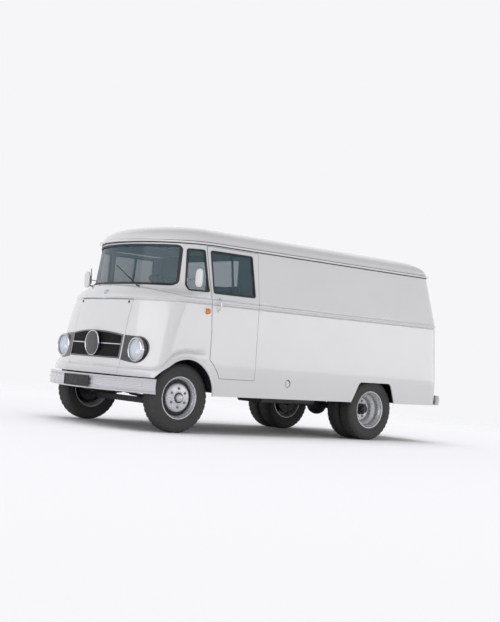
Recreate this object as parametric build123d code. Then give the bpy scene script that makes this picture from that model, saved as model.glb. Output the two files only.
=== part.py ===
from build123d import *
import os
from functools import lru_cache
from math import cos, pi, radians, sin, sqrt

os.makedirs("parts", exist_ok=True)

# Forward-control delivery van. Everything is modelled level in a body frame: +X is the van's
# left side, +Y runs to the rear, +Z is up, the origin is on the ground under the front axle.
# The finished nodes are then tipped nose-down by RAKE and moved to the middle of the footprint.

# ---------------------------------------------------------------- driving dimensions (mm)
WHEELBASE = 2850
RAKE = 1.04                 # degrees, rear of the body higher than the front
FOOTPRINT_SHIFT = -1696.7   # moves the overall length to the middle of the frame
TYRE_R = 362
TYRE_W = 185
RIM_R = 222                 # rim flange
RIM_W = 150
FRONT_WHEEL_X = 838         # centre plane of a front wheel
REAR_WHEEL_X = 844          # centre plane of an outer rear wheel
TWIN_GAP = 215              # centre to centre of the twin rear wheels
KINGPIN_X = 750
KINGPIN_R = 12
SEAT_X = 560

SKIN = 28                   # skin with its inner pressings
GAP = 4                     # shut line of doors and hatch
FREE_EDGE_EASE = 3.5        # more room where a leaning door swings out past its pillar
BODY_BOTTOM = 395
VALANCE_Z = 556             # lower edge of the nose
BELT_Z = 1385
GUTTER_Z = 1985
ROOF_RISE = 225
ROOF_HALF = 914
ROOF_STEPS = 12             # outlines drawn in from the edge to the crown

NOSE_END_Y = 262            # where the nose pressings meet the sides
REAR_FRAME_Y = 3790
BULKHEAD_Y = 960
CAB_FLOOR_Z = 812
CARGO_FLOOR_Z = 602

ARCH_Y = -8                 # front wheel arch
ARCH_Z = 392
ARCH_R = 372
HATCH_HALF = 500
HATCH_TOP = 1352
LAMP_X = 705
LAMP_Z = 828
LAMP_R = 126

DOOR_REAR_Y = 930
DOOR_BOTTOM = 585
DOOR_TOP = 1962
REAR_DOOR_HALF = 735
REAR_DOOR_Z = (618, 1900)
RAIL_X = 370                # chassis rail
RAIL_Z = (455, 570)
SPRING_X = 450

# Stations of the outer body: height, half width, nose, depth of the nose ellipse, tail.
LOWER_STATIONS = [
    (BODY_BOTTOM, 985, -490, 240, 4025),
    (VALANCE_Z, 1000, -516, 255, 4018),
    (875, 1004, -495, 300, 3995),
    (1100, 1002, -468, 340, 3975),
    (BELT_Z, 1000, -415, 395, 3950),
]
COWL_STATIONS = [
    (BELT_Z, 1000, -415, 395, 3950),
    (1408, 997, -404, 425, 3945),
    (1440, 992, -374, 500, 3938),
    (1490, 985, -326, 590, 3927),
    (1545, 977, -290, 640, 3915),
]
UPPER_STATIONS = [
    (1545, 977, -290, 640, 3915),
    (GUTTER_Z, ROOF_HALF, -245, 600, 3820),
]
CORNER_R = 150              # rear corners in plan

# Wheel centres in the body frame, level on the ground once the body is tipped.
TIP = radians(RAKE)
FRONT_Y = TYRE_R * sin(TIP)
FRONT_Z = TYRE_R * cos(TIP)
REAR_Y = WHEELBASE * cos(TIP) + TYRE_R * sin(TIP)
REAR_Z = TYRE_R * cos(TIP) - WHEELBASE * sin(TIP)


# ---------------------------------------------------------------- small helpers
def block(x, y, z):
    """Box between two corners given as (low, high) pairs."""
    size = Box(x[1] - x[0], y[1] - y[0], z[1] - z[0])
    return Pos((x[0] + x[1]) / 2, (y[0] + y[1]) / 2, (z[0] + z[1]) / 2) * size


def rod(start, end, radius):
    direction = Vector(*end) - Vector(*start)
    return Solid.make_cylinder(radius, direction.length, Plane(origin=start, z_dir=direction))


def ring(centre, axis, outer, inner, length):
    """Tube centred on a point."""
    axis = Vector(*axis).normalized()
    start = Vector(*centre) - axis * (length / 2)
    plane = Plane(origin=start, z_dir=axis)
    return Solid.make_cylinder(outer, length, plane) - Solid.make_cylinder(inner, length, plane)


def disc(centre, axis, radius, length):
    axis = Vector(*axis).normalized()
    start = Vector(*centre) - axis * (length / 2)
    return Solid.make_cylinder(radius, length, Plane(origin=start, z_dir=axis))


def side_prism(points, radius, x):
    """Prism along X over an outline in (y, z) with rounded corners."""
    outline = Polyline(*[(0, y, z) for y, z in points], close=True)
    face = Face(Wire(outline.edges()))
    if radius:
        face = face.fillet_2d(radius, face.vertices())
    return Pos(x[0], 0, 0) * extrude(face, x[1] - x[0], dir=(1, 0, 0))


def front_prism(points, radius, y):
    """Prism along Y over an outline in (x, z) with rounded corners."""
    outline = Polyline(*[(x, 0, z) for x, z in points], close=True)
    face = Face(Wire(outline.edges()))
    if radius:
        face = face.fillet_2d(radius, face.vertices())
    return Pos(0, y[0], 0) * extrude(face, y[1] - y[0], dir=(0, 1, 0))


def mirrored(shape):
    return mirror(shape, about=Plane.YZ)


def pair(shape):
    return [shape, mirrored(shape)]


def turned(outline, centre_x, centre_y, centre_z):
    """Solid of revolution about an X axis from an outline of (offset along X, radius)."""
    wire = Polyline(*[(a, 0, r) for a, r in outline], close=True)
    solid = revolve(Face(Wire(wire.edges())), axis=Axis.X)
    return Pos(centre_x, centre_y, centre_z) * solid


# ---------------------------------------------------------------- body surfaces
def plan_outline(z, half, nose, depth, tail, corner):
    """Half ellipse at the nose, straight sides, rounded rear corners."""
    front = nose + depth
    arc = EllipticalCenterArc((0, front), half, depth, 180, arc_size=180)
    left = Line((half, front), (half, tail - corner))
    left_corner = CenterArc((half - corner, tail - corner), corner, 0, 90)
    rear = Line((half - corner, tail), (corner - half, tail))
    right_corner = CenterArc((corner - half, tail - corner), corner, 90, 90)
    right = Line((-half, tail - corner), (-half, front))
    edges = [arc, left, left_corner, rear, right_corner, right]
    wire = Wire([edge for part in edges for edge in part.edges()])
    return Pos(0, 0, z) * wire


def lofted(stations, inset):
    wires = []
    for z, half, nose, depth, tail in stations:
        wires.append(plan_outline(z, half - inset, nose + inset, depth - inset, tail - inset, CORNER_R - inset))
    return Solid.make_loft(wires)


@lru_cache(maxsize=None)
def body_solid(inset):
    lower = lofted(LOWER_STATIONS, inset)
    cowl = lofted(COWL_STATIONS, inset)
    return lower + cowl + lofted(UPPER_STATIONS, inset)


def roof_solid(inset, base):
    """Crowned roof over the gutter line, as level outlines drawn in from the edge."""
    wires = []
    reach = ROOF_HALF - inset
    for index in range(ROOF_STEPS):
        share = 0.86 * (index / (ROOF_STEPS - 1)) ** 2.4
        rise = (ROOF_RISE - inset) * (1 - (1 - share) ** 2.5) ** 0.4
        step = share * reach
        nose = -245 + inset + step
        wires.append(plan_outline(base + rise, reach - step, nose, 600 - inset - step * 0.65,
                                  3820 - inset - step, max(CORNER_R - inset - step * 0.1, 20)))
    return Solid.make_loft(wires, ruled=True)


@lru_cache(maxsize=None)
def shell_between(outer_inset, inner_inset):
    return body_solid(outer_inset) - body_solid(inner_inset)


def door_outline(grow, ease=0.0):
    """Cab door seen from the side, wrapped round the wheel arch at its foot."""
    arch = ARCH_R + 118 - grow + ease
    low_z = DOOR_BOTTOM - grow
    foot_y = ARCH_Y + sqrt(arch ** 2 - (low_z - ARCH_Z) ** 2)
    front_y = 300 - grow + ease
    knee_z = ARCH_Z + sqrt(arch ** 2 - (front_y - ARCH_Y) ** 2)
    middle = radians(50)
    middle_point = (0, ARCH_Y + arch * cos(middle), ARCH_Z + arch * sin(middle))
    top_y = 236 - grow + ease
    rear_y = DOOR_REAR_Y + grow
    top_z = DOOR_TOP + grow
    curve = ThreePointArc((0, foot_y, low_z), middle_point, (0, front_y, knee_z))
    rest = Polyline((0, front_y, knee_z), (0, front_y, 1080), (0, top_y, top_z),
                    (0, rear_y, top_z), (0, rear_y, low_z), (0, foot_y, low_z))
    face = Face(Wire(curve.edges() + rest.edges()))
    return extrude(face, 400, dir=(1, 0, 0))


def door_prism(grow, ease=0.0):
    return Pos(700, 0, 0) * door_outline(grow, ease)


def rear_door_prism(low_x, high_x, grow, head_room=0.0):
    z = (REAR_DOOR_Z[0] - grow, REAR_DOOR_Z[1] + grow - head_room)
    return block((low_x - grow, high_x + grow), (3700, 4100), z)


def door_window(grow):
    points = [(300 - grow, 1470 - grow), (884 + grow, 1470 - grow), (850 + grow, 1926 + grow),
              (272 - grow, 1926 + grow)]
    return side_prism(points, 26 + grow, (700, 1100))


def quarter_window(grow):
    points = [(20 - grow, 1478 - grow), (250 + grow, 1478 - grow), (216 + grow, 1926 + grow),
              (48 - grow, 1926 + grow)]
    return side_prism(points, 24 + grow, (650, 1100))


def windscreen_opening(grow):
    half = 800 + grow
    points = [(-half, 1520 - grow), (half, 1520 - grow), (half - 30, 1958 + grow), (30 - half, 1958 + grow)]
    return front_prism(points, 60 + grow, (-600, 250))


def front_arch():
    return rod((450, ARCH_Y, ARCH_Z), (1100, ARCH_Y, ARCH_Z), ARCH_R)


def rear_arch():
    points = [(2462, 300), (3205, 300), (3205, 395), (3100, 634), (2566, 634), (2462, 395)]
    outline = Polyline(*[(0, y, z) for y, z in points], close=True)
    face = Face(Wire(outline.edges()))
    top_corners = face.vertices().sort_by(Axis.Z)[-2:]
    face = face.fillet_2d(70, top_corners)
    return Pos(900, 0, 0) * extrude(face, 200, dir=(1, 0, 0))


def pressed_body():
    """The whole skin with its openings, before it is split into panels."""
    skin = shell_between(0, SKIN)
    skin -= block((-1100, 1100), (-700, 100), (300, VALANCE_Z))
    skin -= block((-1100, 1100), (-700, 4200), (300, BODY_BOTTOM + 1))
    lamp = rod((LAMP_X, -600, LAMP_Z), (LAMP_X, -250, LAMP_Z), LAMP_R + 0.5)
    cap = rod((900, 1425, 570), (1100, 1425, 570), 42)
    for cutter in pair(front_arch()) + pair(rear_arch()) + pair(door_prism(GAP)):
        skin -= cutter
    for cutter in pair(quarter_window(0)) + pair(lamp) + [cap, windscreen_opening(0)]:
        skin -= cutter
    skin -= block((-HATCH_HALF, HATCH_HALF), (-700, -250), (300, HATCH_TOP))
    skin -= rear_door_prism(-REAR_DOOR_HALF, REAR_DOOR_HALF, GAP)
    for x in (-RAIL_X, RAIL_X):
        skin -= block((x - 23, x + 23), (3900, 4100), (467, 533))
    return skin


def split_body(skin):
    """Cuts the pressed skin into the panels that are welded together."""
    joint = 0.25
    far = 1300
    nose = block((-far, far), (-800, NOSE_END_Y - joint), (300, BELT_Z - joint))
    screen = block((-far, far), (-800, NOSE_END_Y - joint), (BELT_Z + joint, 2100))
    left = block((0, far), (NOSE_END_Y + joint, REAR_FRAME_Y - joint), (300, 2100))
    rear = block((-far, far), (REAR_FRAME_Y + joint, 4300), (300, 2100))
    panels = {
        "nose_panel": skin & nose,
        "windscreen_frame": skin & screen,
        "side_panel_left": skin & left,
        "side_panel_right": skin & mirrored(left),
        "rear_frame": skin & rear,
    }
    return panels


def roof_panel():
    """Crowned roof skin with the drip rail and its peak over the windscreen."""
    base = GUTTER_Z + 9
    crown = roof_solid(0, base) - roof_solid(SKIN, base - 1)
    lap = SKIN - 10
    outer = plan_outline(GUTTER_Z + 0.5, ROOF_HALF + 16, -272, 622, 3838, CORNER_R + 10)
    inner = plan_outline(GUTTER_Z + 0.5, ROOF_HALF - lap, -245 + lap, 600 - lap, 3820 - lap, CORNER_R - lap)
    rail = extrude(Face(outer) - Face(inner), 9, dir=(0, 0, 1))
    return crown + rail


# ---------------------------------------------------------------- cab and cargo interior
def interior_slab(z, y, clearance=1.0):
    return body_solid(SKIN + clearance) & block((-1100, 1100), y, z)


def cab_floor():
    slab = interior_slab((CAB_FLOOR_Z, CAB_FLOOR_Z + 12), (-322, BULKHEAD_Y - 1))
    slab -= block((-285, 285), (-300, 640), (700, 900))
    return slab


def cargo_floor():
    slab = interior_slab((CARGO_FLOOR_Z, CARGO_FLOOR_Z + 14), (BULKHEAD_Y + 16, 3990))
    slab -= block((505, 1100), (REAR_Y - 436, REAR_Y + 436), (500, 700))
    slab -= block((-1100, -505), (REAR_Y - 436, REAR_Y + 436), (500, 700))
    for y in range(1100, 3901, 400):
        if abs(y - REAR_Y) < 480:
            slab += block((-495, 495), (y, y + 30), (RAIL_Z[1] + 2, CARGO_FLOOR_Z))
        else:
            slab += block((-900, 900), (y, y + 30), (RAIL_Z[1] + 2, CARGO_FLOOR_Z))
    return slab


def bulkhead():
    wall = interior_slab((CARGO_FLOOR_Z, 1975), (BULKHEAD_Y, BULKHEAD_Y + 14))
    for opening in pair(bulkhead_window(0)):
        wall -= opening
    return wall


def bulkhead_window(grow):
    """One of the two lights between the cab and the load space."""
    low = (14 - grow, 1560 - grow)
    high = (560 + grow, 1900 + grow)
    points = [low, (high[0], low[1]), high, (low[0], high[1])]
    return front_prism(points, 30 + grow, (BULKHEAD_Y - 60, BULKHEAD_Y + 60))


def front_wheel_housing():
    x = (508, 968)
    outer = rod((x[0], ARCH_Y, ARCH_Z), (x[1], ARCH_Y, ARCH_Z), 416)
    inner = rod((x[0] + 4, ARCH_Y, ARCH_Z), (x[1] + 1, ARCH_Y, ARCH_Z), 412)
    tub = outer - inner
    tub -= block((0, 1200), (-600, 600), (-100, 430))
    tub = tub & body_solid(SKIN + 1)
    return tub


def rear_wheel_box():
    outer = block((510, 968), (REAR_Y - 430, REAR_Y + 430), (400, 790))
    inner = block((514, 990), (REAR_Y - 426, REAR_Y + 426), (390, 786))
    return (outer - inner) & body_solid(SKIN + 1)


def engine_cover():
    """Insulated cover between the seats, over the engine."""
    outer = block((-300, 300), (-318, 660), (CAB_FLOOR_Z + 13, 1130))
    outer = fillet(outer.edges().filter_by(Axis.Z) + outer.edges().group_by(Axis.Z)[-1], 40)
    inner = block((-280, 280), (-298, 640), (CAB_FLOOR_Z, 1110))
    return outer - inner


def dashboard():
    """Dash top with its instrument pod, and the steering column tube below it."""
    slab = body_solid(SKIN + 2) & block((-1100, 1100), (-420, -60), (1235, 1420))
    slab -= block((-1100, 1100), (-165, 0), (1200, 1330))
    pod = rod((COLUMN_X, -110, 1420), (COLUMN_X, -110, 1470), 95)
    pod = pod - rod((0, -200, 1500), (0, 100, 1500), 1)
    column = rod(column_point(60), column_point(560), 24)
    return [slab - rod(column_point(0), column_point(900), 32), pod, column]


# Steering column: foot at the floor, top at the wheel.
COLUMN_X = 400
COLUMN_TOP = (120, 1545)
COLUMN_LEAN = 24            # degrees from vertical


def column_point(distance):
    """Point on the column's axis, measured up from the floor."""
    length = 620
    back = (length - distance) * sin(radians(COLUMN_LEAN))
    down = (length - distance) * cos(radians(COLUMN_LEAN))
    return (COLUMN_X, COLUMN_TOP[0] - back, COLUMN_TOP[1] - down)


def steering_wheel():
    axis = Vector(0, sin(radians(COLUMN_LEAN)), cos(radians(COLUMN_LEAN)))
    centre = Vector(*column_point(620))
    plane = Plane(origin=centre, z_dir=axis)
    rim = Solid.make_torus(205, 13, plane)
    hub = Solid.make_cylinder(42, 40, Plane(origin=centre - axis * 45, z_dir=axis))
    wheel = rim + hub
    across = plane.x_dir
    along = plane.y_dir
    for angle in (0, 120, 240):
        out = across * sin(radians(angle)) + along * cos(radians(angle))
        wheel += rod(tuple(centre - axis * 25), tuple(centre + out * 205), 9)
    return wheel


def seat(centre_x):
    cushion = block((centre_x - 230, centre_x + 230), (290, 755), (1010, 1130))
    cushion = fillet(cushion.edges(), 35)
    back = Pos(centre_x, 828, 1380) * Rot(-8, 0, 0) * Box(460, 90, 480)
    back = fillet(back.edges(), 32)
    return [cushion, back]


def seat_frame(centre_x):
    """Sheet box under the cushion with two tubes behind the backrest."""
    x = (centre_x - 215, centre_x + 215)
    base = block(x, (310, 740), (CAB_FLOOR_Z + 13, 1009))
    base -= block((x[0] + 12, x[1] - 12), (260, 728), (CAB_FLOOR_Z + 13, 985))
    for offset in (-150, 150):
        post_x = centre_x + offset
        base += block((post_x - 9, post_x + 9), (735, 840), (980, 996))
        base += rod((post_x, 831, 988), (post_x, 903, 1500), 8)
    return [base]


# ---------------------------------------------------------------- glass and seals
def cab_glass():
    sheet = shell_between(11, 16)
    screen = sheet & windscreen_opening(-4) & block((-900, 900), (-500, 240), (1400, 2000))
    panes = [screen]
    for cutter in pair(quarter_window(-4)):
        panes.append(sheet & cutter)
    middle = block((-700, 700), (BULKHEAD_Y + 5, BULKHEAD_Y + 10), (1400, 2000))
    for opening in pair(bulkhead_window(-0.3)):
        panes.append(middle & opening)
    return panes


def window_seals():
    """Rubber rings clamped round the windscreen and the quarter windows."""
    lip = shell_between(-5, 10)
    screen = lip & (windscreen_opening(-0.3) - windscreen_opening(-22))
    rings = [screen & block((-1100, 1100), (-500, 240), (1400, 2000))]
    for side in pair(quarter_window(-0.3) - quarter_window(-15)):
        rings.append(lip & side)
    return rings


# ---------------------------------------------------------------- nose
def hatch_panel():
    panel = shell_between(0, SKIN)
    z = (VALANCE_Z + 2, HATCH_TOP - 7)
    panel = panel & block((GAP - HATCH_HALF, HATCH_HALF - GAP), (-700, -250), z)
    return panel - grille_opening(0)


def grille_opening(grow):
    """Wide opening with an arched upper edge."""
    half = 478 + grow
    low = 722 - grow
    edge = 975 + grow
    crown = 1012 + grow
    arch = ThreePointArc((half, 0, edge), (0, 0, crown), (-half, 0, edge))
    rest = Polyline((-half, 0, edge), (-half, 0, low), (half, 0, low), (half, 0, edge))
    face = Face(Wire(arch.edges() + rest.edges()))
    return Pos(0, -700, 0) * extrude(face, 500, dir=(0, 1, 0))


def grille():
    """Frame, fine vertical bars, the cross bar and the plain centre disc."""
    curtain = shell_between(8, 14) & grille_opening(-1)
    slots = []
    for x in range(-462, 430, 39):
        slots.append(block((x, x + 30), (-600, -300), (733, 862)))
        slots.append(block((x, x + 30), (-600, -300), (884, 962)))
    curtain = curtain - slots
    frame = shell_between(-6, 7.5) & (grille_opening(-1) - grille_opening(-11))
    bar = shell_between(-8, 7.5) & block((-466, 466), (-700, -300), (866, 880))
    plate = disc((0, -514, 870), (0, -1, 0), 125.7, 10)
    rim = ring((0, -513, 870), (0, -1, 0), 133, 126, 16)
    bar -= disc((0, -500, 870), (0, 1, 0), 133.5, 60)
    return [curtain, frame] + list(bar.solids()) + [plate, rim]


def headlamp_rim():
    bowl = rod((LAMP_X, -330, LAMP_Z), (LAMP_X, -452, LAMP_Z), LAMP_R)
    bowl -= rod((LAMP_X, -342, LAMP_Z), (LAMP_X, -460, LAMP_Z), LAMP_R - 18)
    front = bowl.edges().filter_by(GeomType.CIRCLE).sort_by(Axis.Y)[:2]
    return fillet(front, 5)


def headlamp_lens():
    radius = LAMP_R - 18.3
    ball = Pos(LAMP_X, -448 + 250, LAMP_Z) * Sphere(262)
    core = Pos(LAMP_X, -448 + 250, LAMP_Z) * Sphere(257)
    tube = rod((LAMP_X, -430, LAMP_Z), (LAMP_X, -500, LAMP_Z), radius)
    return (ball - core) & tube


def signal_lamps():
    front = rod((1002.2, 227, 1279), (1025, 227, 1279), 34)
    front = fillet(front.edges().sort_by(Axis.X)[-1], 12)
    tail = rod((840, 4008, 800), (840, 4034, 800), 46)
    return [front, tail]


def bumper_band(y_front, end_x, sag, low, high, thickness):
    """Ribbed blade bent to a long arc in plan."""
    radius = (end_x ** 2 + sag ** 2) / (2 * sag)
    centre_y = y_front + radius
    outer = Pos(0, centre_y, (low + high) / 2) * Cylinder(radius, high - low)
    inner = Pos(0, centre_y, (low + high) / 2) * Cylinder(radius - thickness, high - low)
    blade = (outer - inner) & block((-end_x, end_x), (y_front - 1, y_front + sag + thickness), (low, high))
    for z in (low + 30, high - 30):
        blade += (Pos(0, centre_y, z) * (Cylinder(radius + 5, 16) - Cylinder(radius - 1, 16))
                  & block((-end_x, end_x), (y_front - 20, y_front + sag + 40), (z - 9, z + 9)))
    return blade


def front_bumper():
    blade = bumper_band(-650, 1030, 265, 392, 545, 12)
    plate = block((-240, 240), (-672, -664), (408, 528))
    brackets = []
    for x in (-RAIL_X, RAIL_X):
        brackets.append(block((x - 20, x + 20), (-600, -451), (470, 530)))
    return [blade, plate] + brackets


def rear_bumper():
    blade = block((-960, 960), (4062, 4076), (400, 520))
    ends = []
    for side in (-1, 1):
        x = sorted((side * 960, side * 974))
        ends.append(block(tuple(x), (3985, 4076), (400, 520)))
    for end in ends:
        blade += end
    plate = block((-240, 240), (4077, 4083), (404, 516))
    brackets = []
    for x in (-RAIL_X, RAIL_X):
        brackets.append(block((x - 20, x + 20), (3952, 4061.5), (470, 530)))
    return [blade, plate] + brackets


# ---------------------------------------------------------------- doors
def cab_door():
    shell = shell_between(0, SKIN)
    leaf = shell & door_prism(0, FREE_EDGE_EASE)
    leaf -= door_window(0)
    return leaf


def side_pane(low_y, high_y, inset):
    """Flat pane in the plane of the upper side."""
    sheet = shell_between(inset, inset + 5)
    cut = block((700, 1100), (low_y, high_y), (1400, 2000))
    return sheet & door_window(-3) & cut


def cab_door_handle():
    """Pull handle standing off the door near its front edge."""
    low = (1013, 372, 1290)
    high = (1010, 380, 1424)
    bow = ThreePointArc(low, (1038, 376, 1357), high)
    path = Wire(bow.edges())
    section = Plane(origin=low, z_dir=path % 0) * Circle(6.5)
    handle = sweep(section, path=path)
    handle += rod((1003.5, 372, 1290), (1015, 372, 1290), 8)
    handle += rod((997, 380, 1424), (1012, 380, 1424), 8)
    return handle


def rear_door(side):
    shell = shell_between(0, SKIN)
    inner = 2.2 * side
    outer = REAR_DOOR_HALF * side
    x = sorted((inner, outer))
    leaf = shell & rear_door_prism(x[0], x[1], 0, 7)
    window = [(side * 190, 1500), (side * 560, 1500), (side * 560, 1800), (side * 190, 1800)]
    leaf -= front_prism(window, 40, (3700, 4100))
    pane = shell_between(10, 15) & front_prism([(side * 190.5, 1500.5), (side * 559.5, 1500.5),
                                               (side * 559.5, 1799.5), (side * 190.5, 1799.5)], 39, (3700, 4100))
    solids = [leaf, pane]
    if side < 0:
        solids.append(block((-60, -30), (3990, 4015), (1050, 1190)))
    return solids


# ---------------------------------------------------------------- chassis
def chassis_frame():
    frame = None
    for side in (-1, 1):
        rail = block((side * RAIL_X - 30, side * RAIL_X + 30), (-450, 3950), RAIL_Z)
        hollow = block((RAIL_X - 24, RAIL_X + 30), (-450, 3950), (RAIL_Z[0] + 6, RAIL_Z[1] - 6))
        rail -= hollow if side > 0 else mirrored(hollow)
        frame = rail if frame is None else frame + rail
    for y in (-440, 1500, 2250, 3450, 3890):
        frame += block((-RAIL_X + 24, RAIL_X - 24), (y, y + 50), (RAIL_Z[0] + 8, RAIL_Z[1] - 8))
    frame += block((-RAIL_X + 24, RAIL_X - 24), (740, 800), (RAIL_Z[0] + 1, 478))
    return frame


def front_axle_beam():
    beam = block((-620, 620), (FRONT_Y - 28, FRONT_Y + 28), (262, 322))
    for side in (-1, 1):
        x = sorted((side * 600, side * 702))
        beam += block(tuple(x), (FRONT_Y - 28, FRONT_Y + 28), (290, 350))
        boss = rod((side * KINGPIN_X, FRONT_Y, 318), (side * KINGPIN_X, FRONT_Y, 402), 30)
        x = sorted((side * 700, side * KINGPIN_X))
        beam += block(tuple(x), (FRONT_Y - 28, FRONT_Y + 28), (318, 352))
        beam += boss
        beam -= rod((side * KINGPIN_X, FRONT_Y, 200), (side * KINGPIN_X, FRONT_Y, 500), KINGPIN_R + 0.05)
    return beam


def rear_axle():
    tube = rod((-588, REAR_Y, REAR_Z), (588, REAR_Y, REAR_Z), 38)
    tube += Pos(0, REAR_Y, REAR_Z) * Sphere(125)
    tube -= block((-200, 200), (REAR_Y - 300, REAR_Y - 112), (100, 500))
    return tube


def leaf_spring(centre_y, eye_span, seat_z, eye_z):
    """Stacked leaves on an arc, with the two eyes at its ends."""
    sag = eye_z - seat_z
    radius = (eye_span ** 2 + sag ** 2) / (2 * sag)
    centre_z = seat_z + radius
    leaves = None
    for index in range(4):
        reach = eye_span * (1 - 0.2 * index)
        low = radius + 9 * (index + 1)
        band = Pos(SPRING_X, centre_y, centre_z) * Rot(0, 90, 0) * (Cylinder(low, 56) - Cylinder(low - 9, 56))
        cut = block((SPRING_X - 40, SPRING_X + 40), (centre_y - reach, centre_y + reach), (0, eye_z + 40))
        leaf = band & cut
        leaves = leaf if leaves is None else leaves + leaf
    for side in (-1, 1):
        y = centre_y + side * (eye_span + 4)
        leaves += ring((SPRING_X, y, eye_z + 4), (1, 0, 0), 20, 9, 56)
    return leaves


def engine_gearbox():
    """Engine block with head, gearbox behind it and the radiator in front."""
    block_body = block((-190, 190), (-180, 520), (590, 900))
    head = block((-150, 150), (-170, 500), (900, 1060))
    sump = block((-150, 150), (-120, 420), (420, 590))
    gearbox = block((-130, 130), (520, 900), (480, 760))
    radiator = block((-290, 290), (-395, -335), (600, 1085))
    return [block_body + head + sump + gearbox, radiator]


def exhaust():
    muffler = rod((-560, 1250, 470), (-560, 1950, 470), 80)
    tail = rod((-560, 1950, 470), (-560, 2300, 470), 24)
    pipe = rod((-560, 900, 470), (-560, 1250, 470), 24)
    return muffler + tail + pipe


def fuel_tank():
    tank = block((470, 900), (1150, 1950), (345, 566))
    tank = fillet(tank.edges().filter_by(Axis.Y), 45)
    neck = rod((899, 1425, 500), (940, 1425, 520), 22)
    neck += rod((935, 1425, 517), (950, 1425, 555), 20)
    neck += rod((940, 1425, 568), (976, 1425, 568), 20)
    return tank + neck


def filler_cap():
    cap = rod((978, 1425, 568), (994, 1425, 568), 33)
    cap += block((993, 1001), (1425 - 26, 1425 + 26), (562, 574))
    return cap


# ---------------------------------------------------------------- wheels
def tyre(centre_x, y, z):
    half = TYRE_W / 2
    seat = RIM_W / 2 - 6
    outline = [(-seat, RIM_R - 12), (-seat - 3, RIM_R + 14), (-half, 280), (-half, 312), (6 - half, 340),
               (26 - half, TYRE_R - 5), (44 - half, TYRE_R), (half - 44, TYRE_R), (half - 26, TYRE_R - 5),
               (half - 6, 340), (half, 312), (half, 280), (seat + 3, RIM_R + 14), (seat, RIM_R - 12),
               (seat - 12, RIM_R - 12), (half - 20, 285), (half - 26, 335), (26 - half, 335),
               (20 - half, 285), (12 - seat, RIM_R - 12)]
    return turned(outline, centre_x, y, z)


def rim_outline():
    """Drop-centre rim, flange to flange."""
    half = RIM_W / 2
    outer = [(-half, RIM_R), (4 - half, RIM_R), (5 - half, RIM_R - 13), (26 - half, RIM_R - 16), (-26, RIM_R - 34),
             (26, RIM_R - 34), (half - 26, RIM_R - 16), (half - 5, RIM_R - 13), (half - 4, RIM_R), (half, RIM_R)]
    inner = [(half, RIM_R - 17), (half - 22, RIM_R - 20), (22, RIM_R - 39), (-22, RIM_R - 39),
             (22 - half, RIM_R - 20), (-half, RIM_R - 17)]
    return outer + inner


def nut_ring(face_x, circle_r, count, y, z, outward):
    nuts = []
    for index in range(count):
        angle = 2 * pi * index / count + pi / 6
        centre = (face_x, y + circle_r * cos(angle), z + circle_r * sin(angle))
        plane = Plane(origin=centre, z_dir=(outward, 0, 0))
        nuts.append(extrude(plane * RegularPolygon(13, 6), 16))
    return nuts


def front_wheel():
    """Rim with its raised disc, brake drum, hub cap and six nuts."""
    x = FRONT_WHEEL_X
    rim = turned(rim_outline(), x, FRONT_Y, FRONT_Z)
    dish = [(14, 183.5), (18, 183.5), (26, 160), (44, 142), (52, 132), (58, 60), (64, 52), (64, 0.01),
            (58, 0.01), (52, 60), (46, 130), (38, 139), (20, 157)]
    wheel_disc = turned(dish, x, FRONT_Y, FRONT_Z)
    drum = [(-34, 60), (-34, 142), (28, 142), (28, 54), (51.5, 54), (51.5, 23), (20, 23), (20, 134), (-30, 134),
            (-30, 60)]
    brake_drum = turned(drum, x, FRONT_Y, FRONT_Z)
    cap = turned([(64.2, 0.01), (64.2, 44), (88, 38), (94, 24), (94, 0.01)], x, FRONT_Y, FRONT_Z)
    nuts = nut_ring(x + 57.2, 100, 6, FRONT_Y, FRONT_Z, 1)
    return [rim + wheel_disc, brake_drum, cap] + nuts


def rear_wheel():
    """Twin rims bolted disc to disc, drum, hub and ten nuts."""
    outer_x = REAR_WHEEL_X
    inner_x = REAR_WHEEL_X - TWIN_GAP
    middle = (outer_x + inner_x) / 2
    dish = [(-98, 70), (-98, 134), (-60, 150), (-24, 183.5), (-19, 183.5), (-54, 148), (-94, 130), (-94, 70)]
    outer = turned(rim_outline() , outer_x, REAR_Y, REAR_Z) + turned(dish, outer_x, REAR_Y, REAR_Z)
    flipped = [(-a, r) for a, r in dish]
    inner = turned(rim_outline(), inner_x, REAR_Y, REAR_Z) + turned(flipped, inner_x, REAR_Y, REAR_Z)
    flange_x = middle - outer_x
    hub = [(-290, 60), (-290, 148), (-170, 148), (-170, 66), (flange_x + 60, 66), (flange_x + 60, 52),
           (flange_x + 100, 46), (flange_x + 100, 0.01), (-250, 0.01), (-250, 60)]
    hub_solid = turned(hub, outer_x, REAR_Y, REAR_Z)
    nuts = nut_ring(outer_x - 93.8, 100, 8, REAR_Y, REAR_Z, 1)
    return [outer, inner, hub_solid] + nuts


def steering_knuckle():
    """Forked knuckle with the stub axle, back plate and steering arm."""
    x = KINGPIN_X
    pin = rod((x, FRONT_Y, 290), (x, FRONT_Y, 430), KINGPIN_R)
    upper = block((x - 30, x + 52), (FRONT_Y - 28, FRONT_Y + 28), (404, 430))
    lower = block((x - 30, x + 52), (FRONT_Y - 28, FRONT_Y + 28), (290, 316))
    bridge = block((x + 36, x + 52), (FRONT_Y - 28, FRONT_Y + 28), (290, 430))
    stub = rod((x + 50, FRONT_Y, FRONT_Z), (FRONT_WHEEL_X + 24, FRONT_Y, FRONT_Z), 22)
    arm = block((x - 20, x + 10), (FRONT_Y + 20, FRONT_Y + 175), (404, 424))
    return pin + upper + lower + bridge + stub + arm


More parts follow.
